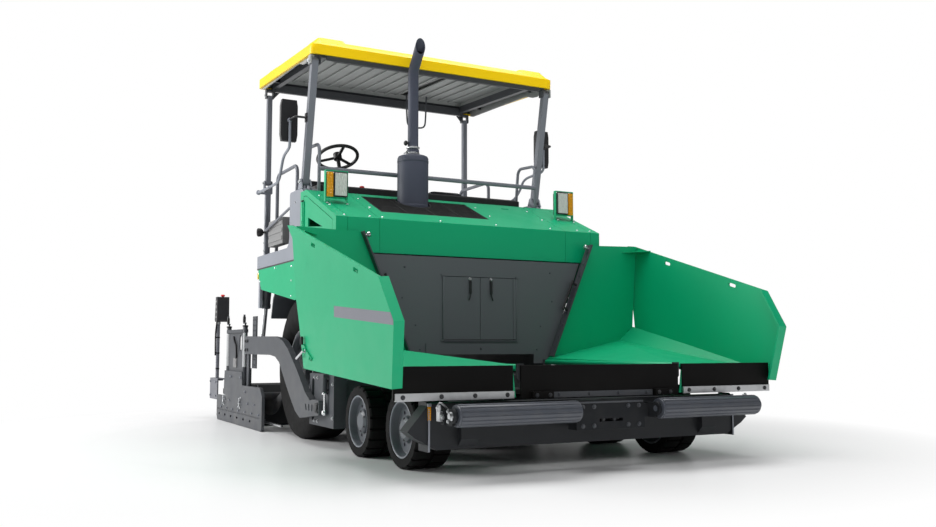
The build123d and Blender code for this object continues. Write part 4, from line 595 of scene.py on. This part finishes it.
def add_side_apron(side):
    """Zinc clamping bar, its bolts and the corner gusset of a side apron."""
    body = f"wing_{side}"
    low, high = span(f"side_apron_{side}")
    inner, outer = sorted((abs(low.y), abs(high.y)))
    face = high.x + 0.0015
    bar = Form().box((high.x - 0.013, face), (inner - 0.001, outer - 0.009), (low.z - 0.001, low.z + 0.047))
    bar.piece("apron_bar", STEEL, side, body)
    places = [(face, inner + share * (outer - inner), low.z + 0.023) for share in (0.06, 0.34, 0.62, 0.93)]
    Form().bolts(places, out=FORWARD).piece("apron_bolts", CAST, side, body, edge=0)
    gusset = Form().prism([(3.006, 0.677, 0.5), (3.006, 0.697, 0.5), (3.006, 0.697, 0.665)], (0.008, 0, 0))
    gusset.piece("apron_gusset", GREEN, side, body)


def add_centre_apron():
    low, high = span("centre_apron")
    strip = Form().box((3.035, 3.044), (-0.412, 0.412), (low.z + 0.002, low.z + 0.04))
    strip.bolts([(3.044, y, low.z + 0.021) for y in (-0.36, -0.12, 0.12, 0.36)], 0.009, FORWARD)
    strip.piece("centre_apron_strip", DARK)
    hinges = Form().bolts([(high.x, y, low.z + 0.022) for y in (0.45, 0.55)], out=FORWARD)
    hinges.piece("apron_hinge_bolts", CAST, "both", edge=0)


def add_bulkhead_ledge():
    """Ledge under the two doors, and the bulkhead's button heads."""
    x = BULKHEAD_FACE
    ledge = Form().box((x - 0.001, x + 0.016), (-0.352, 0.352), (0.863, 0.879))
    upper = [(x, -0.7, 1.47), (x, 0.7, 1.47)]
    lower = [(x, -0.5, 0.805), (x + 0.012, 0.0, 0.805), (x, 0.5, 0.805)]
    ledge.domes(upper + lower, 0.01, FORWARD)
    beside = ((0.6, 1.0), (0.72, 1.22), (0.56, 0.8))
    ledge.domes([(x, y * sign, z) for y, z in beside for sign in (1, -1)], 0.008, FORWARD)
    ledge.piece("bulkhead_ledge", DARK)


def add_bay_door(side):
    """Black grip over a door's handle, and its round latch."""
    body = f"bay_door_{side}"
    x, y = BULKHEAD_FACE + 0.016, 0.1
    bar = [(0.007, 0), (0.011, 0.012), (0.009, 0.055), (0.011, 0.1), (0.007, 0.116)]
    grip = Form().lathe((x, y, 1.262), UP, bar, 16)
    grip.tube([(x, y, 1.262), (x + 0.004, y + 0.004, 1.235), (x, y + 0.016, 1.212)], 0.005)
    grip.piece("bay_grip", BLACK, side, body)
    latch = [(0.013, 0), (0.013, 0.006), (0.009, 0.008), (0.009, 0.016)]
    Form().lathe((BULKHEAD_FACE, y, 1.392), FORWARD, latch, 20).piece("bay_latch", STEEL, side, body)


# ---- hood and exhaust
def add_hood_bolts():
    domes = Form()
    front_row = (-1.19, -0.97, -0.86, -0.33, 0.21, 0.77, 1.06, 1.2)
    domes.domes([on_hood(1.205, y) for y in front_row], 0.01, HOOD_OUT)
    for x in (0.66, 0.93):
        domes.domes([on_hood(x, y) for y in (-1.215, -0.86, 0.3, 0.86, 1.215)], out=HOOD_OUT)
    domes.piece("hood_bolts", STEEL, edge=0)


def add_hood_latch(side):
    x, y, z = 1.08, BODY_FACE, 1.62
    latch = Form().lathe((x, y, z), LEFT, [(0.026, 0), (0.026, 0.004), (0.02, 0.006)])
    latch.box((x - 0.006, x + 0.006), (y + 0.005, y + 0.01), (z - 0.017, z + 0.017))
    latch.piece("hood_latch", BLACK, side, f"hood_door_{side}")


def add_exhaust_fittings():
    """Pipe clamp, sensor, muffler straps, and a black disc in the mouth: painted shade and soot for the
    pipe's inside.
    """
    x, y, collar = 0.64, -0.33, 2.59
    clamp = Form()
    for z in (collar - 0.04, collar + 0.012):
        clamp.lathe((x, y, z), UP, [(0.0585, 0), (0.06, 0.003), (0.06, 0.013), (0.0585, 0.016)], 32)
    lug_y, lug_z = y - 0.075, collar - 0.03
    clamp.rod((x + 0.03, lug_y, lug_z), (x - 0.03, lug_y, lug_z), 0.006)
    clamp.bolts([(x + 0.032, lug_y, lug_z)], 0.008, FORWARD).piece("exhaust_clamp", STEEL)
    knob = [(0.008, 0), (0.008, 0.012), (0.022, 0.016), (0.024, 0.028), (0.016, 0.04)]
    Form().lathe((x, y - 0.046, 2.65), (0, -1, 0), knob, 20).piece("exhaust_sensor", BLACK)
    # painted shade and soot: a black disc closes the mouth and stands for the pipe's dark inside
    slope = Vector((0.19, 0, 0.24))
    mouth = Vector((x, y, 3.32)) + slope * 0.59
    Form().lathe(mouth, slope, [(0.0424, 0), (0.0424, 0.004)], 28).piece("exhaust_shade_and_soot", APRON, edge=0)
    straps = Form()
    for z in (2.06, 2.47):
        straps.lathe((x, y, z), UP, [(0.1402, 0), (0.1418, 0.003), (0.1418, 0.021), (0.1402, 0.024)], 48)
    straps.piece("muffler_straps", STACK)


def add_lamp(side):
    """Lamp with its ribbed lens, and the ribbed indicator, in their strap guard."""
    x, low, high = 0.85, 2.0686, 2.275
    case = Form().box((x - 0.032, x + 0.043), (1.0535, 1.1655), (low, high))
    for face, inner, outer, foot, top, deep in (
        (x + 0.04, 1.049, 1.169, low + 0.004, high + 0.006, 0.016),
        (x - 0.06, 1.075, 1.145, low + 0.03, high - 0.05, 0.03),
    ):
        corners = [(face, inner, foot), (face, outer, foot), (face, outer, top), (face, inner, top)]
        case.prism(corners, (deep, 0, 0))
    case.piece("lamp_case", BLACK, side, edge=0.004)
    lens = Form()
    rib = 0.0186
    z = low + 0.014
    for y in steps(1.058, rib, 5):
        ridge = [(x + 0.054, y, z), (x + 0.054, y + rib, z), (x + 0.06, y + rib / 2, z)]
        lens.prism(ridge, (0, 0, high - low - 0.02))
    lens.box((x + 0.0555, x + 0.0575), (1.057, 1.1615), (low + 0.012, high - 0.004))
    lens.piece("lamp_lens", CLEAR, side, edge=0)
    inner, outer = 1.1745, 1.2275
    mark = Form().box((x - 0.002, x + 0.049), (inner, outer), (low - 0.001, high + 0.001))
    for z in steps(low + 0.02, 0.027, 7):
        mark.box((x + 0.048, x + 0.052), (inner + 0.004, outer - 0.004), (z, z + 0.012))
    mark.piece("indicator", AMBER, side)
    feet = [on_hood(x + 0.03, y) + Vector((0.03, 0, -0.004)) for y in (1.053, 1.227)]
    Form().bolts(feet, 0.008, HOOD_OUT).piece("lamp_bolts", STEEL, side, edge=0)


# ---- canopy, mirrors and platform
def add_mirror(side):
    """Arm, stay and pane of a mirror, and the catch that holds the stay on the rear post."""
    pivot_x, pivot_y = 0.185, 1.3425
    arm_x = pivot_x + 0.02
    arm = Form().lathe((pivot_x, pivot_y, 2.85), FORWARD, [(0.02, 0), (0.02, 0.012), (0.014, 0.02)], 20)
    arm.rod((arm_x, pivot_y, 2.858), (arm_x, pivot_y, 2.64), 0.012)
    arm.tube([
        (arm_x, pivot_y, 2.66), (arm_x, 1.34, 2.61), (0.08, 1.32, 2.6), (-0.12, 1.3, 2.58),
        (-0.18, 1.3, 2.48), (-0.3, 1.285, 2.375), (-0.5, 1.273, 2.372), (-0.655, 1.268, 2.376),
    ], 0.013)
    arm.piece("mirror_stay", LIGHT, side, "front_posts")
    catch = Form().tube([(-0.657, 1.268, 2.376), (-0.8, 1.262, 2.38), (-1.12, 1.25, 2.392)], 0.013)
    socket = [(0.0135, 0), (0.017, 0.003), (0.017, 0.03), (0.0135, 0.033)]
    catch.lathe((-0.66, 1.268, 2.376), BACK, socket, 20)
    catch.ball((-1.135, 1.25, 2.392), 0.026)
    catch.rod((-1.15, 1.235, 2.392), (-1.165, 1.165, 2.392), 0.012)
    catch.piece("stay_catch", LIGHT, side, "rear_posts")
    corners = ((1.28, 2.67), (1.405, 2.67), (1.413, 2.722), (1.413, 2.978),
               (1.405, 3.03), (1.28, 3.03), (1.272, 2.978), (1.272, 2.722))
    pane = Form().prism([(0.1395, y, z) for y, z in corners], (-0.003, 0, 0))
    pane.piece("mirror_glass", CHROME, side, "front_posts", edge=0)


def add_canopy_handle():
    x = -0.965
    run = (
        (0.32, 3.58), (0.325, 3.3), (0.345, 3.225), (0.44, 3.215), (0.535, 3.225), (0.555, 3.3), (0.56, 3.58),
    )
    Form().tube([(x, y, z) for y, z in run], 0.009).piece("canopy_handle", DARK, body="roof")


def add_post_pins(side):
    """Heads of the pins at the tops and the feet of the canopy's posts."""
    front_y, rear_x, rear_y = 1.254, -1.169, 1.186
    pins = Form().bolts([(0.452, front_y, 3.34)], 0.014).bolts([(rear_x, rear_y, 3.42)], 0.012)
    pins.piece("canopy_pins", STEEL, side, "roof", edge=0)
    feet = Form().bolts([(0.24, front_y, 2.29), (rear_x, rear_y, 2.5)], 0.014)
    feet.bolts([(rear_x, 1.169, z) for z in (1.8, 1.88)])
    feet.piece("post_pins", STEEL, side, edge=0)


def add_platform_fittings():
    """Details of the fenders and side columns, work lamps, and the locker on the right."""
    # painted shade: a thin black strip on each fender's face stands for the shadow in a gap
    Form().box((-1.128, 0.335), (1.249, 1.2515), (1.592, 1.606)).piece("fender_gap_shade", BLACK, "both", edge=0)
    mark = Form().box((-1.099, -1.062), (1.249, 1.256), (1.498, 1.562))
    for z in steps(1.503, 0.011, 5):
        mark.box((-1.097, -1.064), (1.2555, 1.2575), (z, z + 0.006))
    mark.piece("fender_reflectors", REFLECTOR, "both")
    places = ((-1.02, 1.47), (0.02, 1.55), (0.02, 1.42), (0.02, 1.28), (-0.5, 1.57), (0.28, 1.57))
    Form().domes([(x, FENDER_FACE, z) for x, z in places]).piece("fender_bolts", STEEL, "both", edge=0)
    stay = Form().box((-1.12, -1.07), (1.207, 1.234), (1.21, 1.56))
    stay.piece("fender_stays", LIGHT, "both", edge=0.002)
    lamp = [(0.012, 0), (0.012, 0.03), (0.026, 0.036), (0.042, 0.056), (0.044, 0.085), (0.038, 0.092)]
    Form().lathe((-1.12, 1.165, 1.985), (-0.5, 0.86, 0), lamp).piece("rear_work_lamps", BLACK, "both")
    locker = Form().box((-1.04, -0.56), (-1.165, -1.085), (1.822, 2.08))
    for z in steps(1.86, 0.075, 3):
        locker.box((-1.03, -0.57), (-1.172, -1.164), (z, z + 0.04))
    locker.piece("rail_locker", LOCKER, edge=0.006)
    places = [(x, FENDER_FACE, z) for x in (0.115, 0.3) for z in (1.76, 2.12)]
    Form().bolts(places, 0.008).piece("column_bolts", STEEL, "both", edge=0)


def add_console_details():
    """Keys and a blank display in each tray, the stop button and the steering wheel's boss."""
    keys = Form()
    for tray_y in (-0.93, 0.57):
        for x in steps(-0.05, 0.045, 3):
            for y in steps(tray_y + 0.03, 0.028, 6):
                keys.lathe((x, y, 2.288), UP, [(0.01, 0), (0.01, 0.005), (0.007, 0.007)], 12)
        keys.box((-0.055, 0.095), (tray_y + 0.21, tray_y + 0.34), (2.2875, 2.294))
    keys.piece("console_keys", LOCKER)
    stop = [(0.016, 0), (0.016, 0.006), (0.024, 0.008), (0.024, 0.02), (0.016, 0.026)]
    Form().lathe((0.08, -0.6, 2.3), UP, stop, 20).piece("console_stop", RED)
    boss = Form().lathe((0, 0, 0), UP, [(0.03, 0), (0.03, 0.006), (0.022, 0.01)])
    lean = Matrix.Translation((-0.15, -0.756, 2.61)) @ Matrix.Rotation(math.radians(-25), 4, "Y")
    for vertex in boss.mesh.verts:
        vertex.co = lean @ (vertex.co + Vector((0, 0, 0.06)))
    boss.piece("steering_boss", STEEL, body="steering_wheel")


# ---- wheels and running gear
def on_circle(count, radius, middle, first=0):
    """Evenly spaced points about a wheel's middle, the first at an angle above forwards."""
    x, y, z = middle
    angles = [math.radians(angle) for angle in steps(first, 360 / count, count)]
    return [(x + radius * math.cos(angle), y, z + radius * math.sin(angle)) for angle in angles]


def add_small_wheels(side):
    """A lighter ring on the edge of each small rim, a painted highlight, and the ring and bolts of its hub.
    """
    for place in ("front", "second"):
        body = f"wheel_{place}_{side}"
        low, high = span(f"rim_{place}_{side}")
        x, z = (low.x + high.x) / 2, (low.z + high.z) / 2
        face = max(abs(low.y), abs(high.y))
        # painted highlight: the rim's edge ring takes the lighter LIGHT paint instead of the rim paint
        edge = Form().hoop((x, face - 0.001, z), LEFT, 0.1885, 0.0045, 64)
        edge.piece(f"rim_edge_{place}", LIGHT, side, body, edge=0, slot="rim_paint")
        hub = Form().hoop((x, face - 0.0545, z), LEFT, 0.0905, 0.003, 40)
        hub.bolts(on_circle(6, 0.072, (x, face - 0.0225, z), 30), 0.006)
        hub.piece(f"hub_bolts_{place}", CAST, side, body, edge=0)


def add_rear_wheel(side):
    """Wheel nuts and hub bolts of the large wheel, and the ring at its rim."""
    hub_z = 0.64
    nuts = Form().bolts(on_circle(10, 0.215, (0, 1.075, hub_z)), 0.014)
    nuts.bolts(on_circle(8, 0.098, (0, 1.13, hub_z), 22.5), 0.008)
    nuts.hoop((0, 1.1355, hub_z), LEFT, 0.33, 0.005, 72)
    nuts.piece("rear_nuts", STEEL, side, f"rear_wheel_{side}", edge=0)


def add_front_end():
    """Towing eyes, light edges of the cross beam's end plates, and the front markers."""
    eyes = Form()
    for y in (1.1795, 1.2205):
        eyes.hoop((2.755, y, 0.32), LEFT, 0.037, 0.004, 32)
    eyes.box((2.9285, 2.9315), (1.2495, 1.2625), (0.172, 0.438))
    eyes.box((2.69, 2.75), (1.12, 1.178), (0.402, 0.455))
    eyes.piece("tow_eye_rings", LIGHT, "both")
    marker = Form().box((2.921, 2.931), (1.243, 1.263), (0.366, 0.452))
    for z in steps(0.372, 0.0135, 6):
        marker.box((2.93, 2.933), (1.245, 1.261), (z, z + 0.007))
    marker.piece("front_markers", AMBER, "both")
    Form().box((2.919, 2.933), (1.24, 1.265), (0.452, 0.472)).piece("front_marker_holders", LIGHT, "both")


def add_yoke_fittings():
    """Hydraulic block and lines at the yoke's ends, pins and bolts at its middle."""
    out = 1.262
    fittings = Form().box((3.056, 3.102), (1.246, 1.268), (0.372, 0.432))
    for x, radius, top, nut_z in ((3.066, 0.011, 0.462, 0.446), (3.092, 0.009, 0.47, 0.444)):
        fittings.rod((x, out, 0.432), (x, out, top), radius, 12)
        fittings.lathe((x, out, nut_z), UP, [(radius + 0.003, 0), (radius + 0.003, 0.012)], 6)
    fittings.rod((3.102, 1.258, 0.4), (3.13, 1.258, 0.4), 0.01, 12)
    fittings.lathe((3.108, 1.258, 0.4), FORWARD, [(0.016, 0), (0.016, 0.014)], 6)
    fittings.lathe((3.2, 1.234, 0.41), LEFT, [(0.03, 0), (0.03, 0.008), (0.02, 0.01), (0.02, 0.022)], 6)
    fittings.bolts([(3.15, 1.234, 0.375), (3.15, 1.234, 0.435)], 0.009)
    line = [(3.066, out, 0.455), (3.066, out, 0.484), (3.072, 1.225, 0.476), (3.078, 1.2, 0.44)]
    fittings.tube(line, 0.007)
    fittings.piece("yoke_fittings", STEEL, "both", "push_yoke")
    pins = Form()
    for y in (-0.045, 0.045):
        pins.rod((3.088, y, 0.329), (3.088, y, 0.391), 0.014)
    pins.box((3.119, 3.123), (-0.265, 0.265), (0.452, 0.464))
    pins.bolts([(3.12, y, z) for y in (-0.23, -0.14, 0.14, 0.23) for z in (0.305, 0.43)], 0.011, FORWARD)
    pins.piece("yoke_pins", DARK, body="push_yoke")


def add_tow_point():
    """Chrome rod and ball of each levelling cylinder, its two hoses, and the guide's bolts."""
    x, y = 0.925, 1.236
    rod = Form().rod((x, y, 0.3), (x, y, 0.441), 0.0106).ball((x, y, 0.29), 0.0246)
    rod.lathe((x, y, 0.436), UP, [(0.023, 0), (0.024, 0.004), (0.024, 0.012), (0.0225, 0.016)])
    rod.piece("levelling_rods", CHROME, "both")
    hoses = Form()
    for run in (
        ((0, 0.02, 0.545), (0.03, 0.06, 0.55), (0.035, 0.085, 0.58), (0.02, 0.1, 0.602)),
        ((0, 0.02, 0.47), (0.05, 0.06, 0.48), (0.06, 0.09, 0.54), (0.05, 0.1, 0.602)),
    ):
        hoses.tube([(x + ahead, y - inside, z) for ahead, inside, z in run], 0.008)
    hoses.piece("levelling_hoses", HOSE, "both")
    places = ((0.6, 0.205), (0.6, 0.565), (0.68, 0.205), (0.68, 0.565), (1.045, 0.25), (1.045, 0.52))
    Form().bolts([(along, 1.21, z) for along, z in places]).piece("guide_bolts", STEEL, "both", edge=0)


# ---- screed
def add_gate_bolts():
    """Bolts of the end gates and of the foot plates."""
    y = BODY_FACE
    bolts = Form().bolts([(x, y, 0.155) for x in steps(-2.42, 0.255, 7)])
    bolts.bolts([(x, y, 0.245) for x in (-2.25, -2.05, -1.62, -1.3, -1.05)])
    bolts.bolts([(-1.6, y, 0.5), (-2.0, y, 0.5), (-1.4, y, 0.36)], 0.012)
    bolts.bolts([(x, y, z) for z in (0.26, 0.42) for x in (-2.97, -2.7)])
    bolts.piece("gate_bolts", TUBE, "both", "screed", edge=0)


def add_gate_fittings():
    """Springs, front rod, boxes and hoses of the end gates."""
    y = BODY_FACE
    springs = Form()
    for x in (-2.29, -1.6):
        springs.spring((x, y + 0.014, 0.19), (x + 0.02, y + 0.014, 0.285), 0.01, 0.0028, 7)
        springs.bolts([(x, y, 0.186), (x + 0.02, y, 0.29)], 0.008)
    springs.rod((-1.0, 1.2, 0.085), (-0.36, 1.2, 0.085), 0.012)
    springs.piece("gate_springs", CHROME, "both", "screed", edge=0)
    Form().box((-0.99, -0.95), (1.186, 1.246), (0.062, 0.108)).piece("gate_rod_lugs", DARK, "both", "screed")
    boxes = Form().box((-1.98, -1.86), (1.2475, 1.262), (0.6, 0.7))
    boxes.lathe((-1.92, 1.262, 0.65), LEFT, [(0.03, 0), (0.03, 0.003), (0.022, 0.004)])
    boxes.piece("gate_boxes", LOCKER, "both", "screed")
    run = (
        (-1.88, 1.255, 0.69), (-1.84, 1.262, 0.74), (-1.86, 1.262, 0.84), (-1.95, 1.262, 0.88),
        (-2.0, 1.255, 0.93),
    )
    Form().tube(run, 0.009).piece("gate_hoses", HOSE, "both", "screed")


def add_spindles():
    """Bright tubes and crank grips of the gates' two height spindles."""
    y = 1.2425
    cranks, tubes = Form(), Form()
    for x in (-1.57, -2.26):
        cranks.lathe((x, y, 1.03), UP, [(0.0255, 0), (0.03, 0.004), (0.03, 0.014), (0.02, 0.018)], 20)
        grip = [(0.0125, 0), (0.0155, 0.008), (0.0155, 0.06), (0.0115, 0.068)]
        cranks.lathe((x - 0.05, y, 1.075), UP, grip, 16)
        tubes.rod((x, y, 0.61), (x, y, 0.965), 0.0256)
    cranks.piece("crank_grips", BLACK, "both", "screed")
    tubes.piece("spindle_tubes", STEEL, "both", "screed")


def add_arm_bolts():
    bolts = Form()
    bolts.bolts([(x, ARM_FACE, z) for x in (-1.36, -1.43) for z in (0.79, 0.88)], 0.013)
    bolts.bolts([(0.86, ARM_FACE, z) for z in (0.36, 0.29)], 0.008)
    bolts.lathe((0.82, ARM_FACE + 0.015, 0.325), LEFT, [(0.04, -0.014), (0.04, -0.006), (0.034, 0)], 28)
    bolts.piece("arm_bolts", CAST, "both", "screed", edge=0)


def add_remote_details():
    """Stop button, keys, collar and the clipped cables of each remote console."""
    x, y = -2.79, 1.2
    post_x, post_y, post_r = -2.8, 1.24, 0.0205
    stop = [(0.014, 0), (0.014, 0.006), (0.023, 0.009), (0.023, 0.022), (0.015, 0.029)]
    Form().lathe((x + 0.01, y, 1.399), UP, stop, 22).piece("remote_stops", RED, "both", "screed")
    keys = Form()
    for key_z in steps(1.31, 0.026, 3):
        for key_y in steps(y - 0.03, 0.03, 3):
            keys.lathe((-2.821, key_y, key_z), BACK, [(0.009, 0), (0.009, 0.004), (0.006, 0.006)], 12)
    for z in (1.155, 1.215, 1.335):
        keys.box((x - 0.03, x + 0.034), (1.2695, 1.2725), (z, z + 0.022))
    keys.lathe((x, 1.27, 1.285), LEFT, [(0.02, 0), (0.02, 0.002), (0.014, 0.004)], 20)
    keys.piece("remote_keys", LOCKER, "both", "screed")
    cable_x, cable_y = post_x - 0.03, post_y + 0.03
    cables = Form().tube([
        (x - 0.02, 1.235, 1.118), (x - 0.05, 1.245, 1.085), (post_x - 0.036, post_y + 0.004, 1.02),
        (cable_x, post_y, 0.9), (cable_x, post_y, 0.56), (cable_x, post_y, 0.475),
    ], 0.01)
    cables.tube([
        (x + 0.01, 1.262, 1.116), (x + 0.012, 1.268, 1.06), (post_x - 0.004, cable_y, 0.98),
        (post_x, cable_y, 0.8), (post_x, post_y + 0.028, 0.72),
    ], 0.008)
    for z in (0.56, 0.74, 0.92):
        clip = [(post_r, 0), (0.0225, 0.002), (0.0225, 0.014), (post_r, 0.016)]
        cables.lathe((post_x, post_y, z), UP, clip)
    cables.piece("remote_cables", HOSE, "both", "screed")
    collar = [(post_r, 0), (0.026, 0.003), (0.026, 0.028), (post_r, 0.031)]
    Form().lathe((post_x, post_y, 1.08), UP, collar).piece("remote_collars", STEEL, "both", "screed")


# ---- seats
PAD_VOXEL = 0.006
PAD_SWELL = 0.01  # most that a pad's skin may move
PAD_EDGE = 0.028
PAD_FRAMES = 20
PAD_PRESSURE = 4.0
SEAM_DEPTH = 0.007
SEAM_WIDTH = 0.007
SEAT_Y = 0.73  # middle of the left seat
SEAM_Y = SEAT_Y - 0.12, SEAT_Y + 0.12


def soft_block(low, high, lean=0.0, crown=0.0):
    """Start of a pad: a block crowned towards its sides, leant back by a slope of x on height."""
    pad = bmesh.new()
    bmesh.ops.create_cube(pad, size=1.0)
    bmesh.ops.subdivide_edges(pad, edges=pad.edges[:], cuts=7, use_grid_fill=True)
    low = Vector(low)
    size = Vector(high) - low
    for vertex in pad.verts:
        share = vertex.co.copy()
        aside = abs(share.y) * 2
        x = share.x * size.x * (1 - crown * aside ** 4)
        z = share.z * (1 - 0.06 * aside ** 6) * size.z
        vertex.co = low + size / 2 + Vector((x, share.y * size.y, z))
        vertex.co.x -= lean * (vertex.co.z - low.z)
    return pad


def keep_evaluated(made):
    """Puts what the modifiers give in the place of the mesh, and clears them."""
    graph = bpy.context.evaluated_depsgraph_get()
    finished = bpy.data.meshes.new_from_object(made.evaluated_get(graph))
    made.modifiers.clear()
    made.data = finished


def apply_modifier(made, kind, **settings):
    modify(made, kind, **settings)
    keep_evaluated(made)


def inflate(made):
    """A run of cloth under pressure, without gravity, with the skin's movement capped."""
    rest = [vertex.co.copy() for vertex in made.data.vertices]
    cloth = modify(made, "CLOTH")
    put(cloth.settings, use_pressure=True, uniform_pressure_force=PAD_PRESSURE, quality=4)
    cloth.settings.effector_weights.gravity = 0
    put(cloth.point_cache, frame_start=1, frame_end=PAD_FRAMES)
    for number in range(1, PAD_FRAMES + 1):
        SCENE.frame_set(number)
    keep_evaluated(made)
    SCENE.frame_set(1)
    for vertex, start in zip(made.data.vertices, rest):
        moved = vertex.co - start
        if moved.length > PAD_SWELL:
            vertex.co = start + moved.normalized() * PAD_SWELL


def press_seams(made, channels):
    """Presses in the sewn channels, each (axis it is placed on, where, axis it faces)."""
    facings = [vertex.normal.copy() for vertex in made.data.vertices]
    for vertex, normal in zip(made.data.vertices, facings):
        for axis, at, face in channels:
            off = (abs(vertex.co.y) if axis == 1 else vertex.co[axis]) - at
            if normal[face] > 0.3:
                vertex.co[face] -= SEAM_DEPTH * math.exp(-(off / SEAM_WIDTH) ** 2)


def make_pad(name, pad, channels, side):
    """A cushion or back: swollen by the cloth solver, then sewn."""
    made = add_mesh(f"{name}_{side}", pad, SEAT, side)
    apply_modifier(made, "BEVEL", width=PAD_EDGE, segments=3, limit_method="ANGLE")
    apply_modifier(made, "REMESH", mode="VOXEL", voxel_size=PAD_VOXEL)
    inflate(made)
    press_seams(made, channels)
    apply_modifier(made, "SMOOTH", factor=0.5, iterations=2)
    made.data.shade_smooth()
    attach(made, "chassis")
    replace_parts(made, "seats")


def add_seat_frames():
    """The folded boxes, pans and back shells under the two seats' pads."""
    pan = PLATFORM + 0.225
    y = SEAT_Y - 0.14
    frames = Form()
    frames.prism([(-0.76, y, PLATFORM), (-0.42, y, PLATFORM), (-0.4, y, pan), (-0.78, y, pan)], (0, 0.28, 0))
    frames.box((-0.79, -0.35), (SEAT_Y - 0.205, SEAT_Y + 0.205), (pan, PLATFORM + 0.262))
    y = SEAT_Y - 0.19
    foot, top = PLATFORM + 0.27, PLATFORM + 0.7
    frames.prism([(-0.858, y, foot), (-0.825, y, foot), (-0.868, y, top), (-0.885, y, top)], (0, 0.38, 0))
    frames.piece("seat_frames", BLACK, "both", edge=0.005)


def add_seat(side):
    """Cushion and back, each with its sewn channels, and the two arm rests on their bar."""
    cushion = soft_block((-0.79, SEAT_Y - 0.207, PLATFORM + 0.268),
                         (-0.342, SEAT_Y + 0.207, PLATFORM + 0.352), crown=0.05)
    channels = [(1, at, 2) for at in SEAM_Y]
    channels += [(0, x, 2) for x in steps(AXLE.x - 0.7, 0.09, 4)]
    make_pad("seat_cushion", cushion, channels, side)
    back = soft_block((-0.823, SEAT_Y - 0.198, PLATFORM + 0.3),
                      (-0.748, SEAT_Y + 0.198, PLATFORM + 0.78), lean=0.115, crown=0.1)
    channels = [(1, at, 0) for at in SEAM_Y]
    channels += [(2, z, 0) for z in steps(AXLE.z + PLATFORM + 0.4, 0.095, 4)]
    make_pad("seat_back", back, channels, side)
    rest_z = PLATFORM + 0.507
    arms = Form()
    for y in (SEAT_Y - 0.245, SEAT_Y + 0.245):
        arms.rod((-0.812, y - 0.004, rest_z), (-0.812, y + 0.004, rest_z), 0.024)
        outline = ((-0.828, 0.492), (-0.455, 0.492), (-0.452, 0.51), (-0.47, 0.523), (-0.82, 0.523))
        arms.prism([(x, y - 0.022, PLATFORM + z) for x, z in outline], (0, 0.044, 0))
    arms.rod((-0.84, SEAT_Y - 0.23, rest_z), (-0.84, SEAT_Y + 0.23, rest_z), 0.013)
    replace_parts(arms.piece("seat_arms", BLACK, side, edge=0.006), "seats")


def add_fittings():
    for side in SIDES:
        for add in (
            add_wing_stripe, add_wing_seal, add_wing_lever, add_side_apron, add_bay_door, add_hood_latch,
            add_lamp, add_mirror, add_post_pins, add_small_wheels, add_rear_wheel, add_seat,
        ):
            add(side)
    for add in (
        add_centre_apron, add_bulkhead_ledge, add_hood_bolts, add_exhaust_fittings, add_canopy_handle,
        add_platform_fittings, add_console_details, add_front_end, add_yoke_fittings, add_tow_point,
        add_gate_bolts, add_gate_fittings, add_spindles, add_arm_bolts, add_remote_details, add_seat_frames,
    ):
        add()


# ---- floor and light
FLOOR_REACH = 60.0
FLOOR_FADE = 2.9, 4.8  # distances between which the floor turns to plain white


def make_floor():
    """A pale floor that keeps the shadow and fades to white away from the machine."""
    mesh = bpy.data.meshes.new("floor")
    corners = ((-1, -1), (1, -1), (1, 1), (-1, 1))
    mesh.from_pydata([(x * FLOOR_REACH, y * FLOOR_REACH, cad_low.z) for x, y in corners], [], [(0, 1, 2, 3)])
    pale = Finish("floor", (0.97, 0.97, 0.97, 1.0), 0.25, specular=0.2)
    pale.tint(pale.ramp(pale.noise(0.8, 3), 0.4, 0.6), (0.955, 0.955, 0.955, 1.0), 0.5)
    away = pale.node("ShaderNodeVectorMath", {0: pale.place}, operation="LENGTH").outputs["Value"]
    white = pale.node("ShaderNodeEmission", {"Strength": 1.0}).outputs[0]
    faded = {"Fac": pale.ramp(away, *FLOOR_FADE), 1: pale.shader.outputs[0], 2: white}
    surface = pale.node("ShaderNodeMixShader", faded).outputs[0]
    pale.tree.links.new(surface, pale.tree.nodes["Material Output"].inputs["Surface"])
    mesh.materials.append(pale.material)
    add_object("floor", mesh)


def make_world():
    """White behind everything, an even soft light, and reflections that are brightest from behind."""
    world = bpy.data.worlds.new("studio")
    SCENE.world = world
    world.use_nodes = True
    tree = world.node_tree
    tree.nodes.clear()

    def background(colour, strength):
        inputs = {"Color": colour, "Strength": strength}
        return add_node(tree, "ShaderNodeBackground", inputs).outputs[0]

    facing = {0: add_node(tree, "ShaderNodeTexCoord").outputs["Generated"], 1: (-0.87, -0.49, 0.0)}
    turned = add_node(tree, "ShaderNodeVectorMath", facing, operation="DOT_PRODUCT").outputs["Value"]
    graded = {"Value": turned, "From Min": -0.6, "From Max": 0.8, "To Min": 0.08, "To Max": 0.4}
    falloff = add_node(tree, "ShaderNodeMapRange", graded).outputs["Result"]
    white = background(WHITE, 1)
    lit = background((0.96, 0.98, 1.0, 1.0), 0.28)
    rays = add_node(tree, "ShaderNodeLightPath").outputs
    for ray, then in (
        ("Is Glossy Ray", background(WHITE, falloff)),
        ("Is Transmission Ray", white),
        ("Is Camera Ray", white),
    ):
        lit = add_node(tree, "ShaderNodeMixShader", {"Fac": rays[ray], 1: lit, 2: then}).outputs[0]
    add_node(tree, "ShaderNodeOutputWorld", {"Surface": lit})


def area_light(name, at, size, power, reflected=True):
    """A rectangular lamp aimed at the middle of the machine, its power in watts."""
    lamp = bpy.data.lights.new(name, "AREA")
    put(lamp, shape="RECTANGLE", size=size[0], size_y=size[1], energy=power)
    holder = add_object(name, lamp)
    holder.visible_glossy = reflected
    aim(holder, at, (cad_low + cad_high) / 2 - Vector(at))


make_camera()
make_floor()
make_world()
area_light("key", (-5.5, -9.5, 5), (6, 4), 1050)
area_light("top", (0.5, 0, 9), (9, 7), 790)
area_light("front", (10, -2, 4), (6, 4), 150, reflected=False)
SCENE.view_settings.view_transform = "Standard"
add_fittings()
dress_cad_nodes()
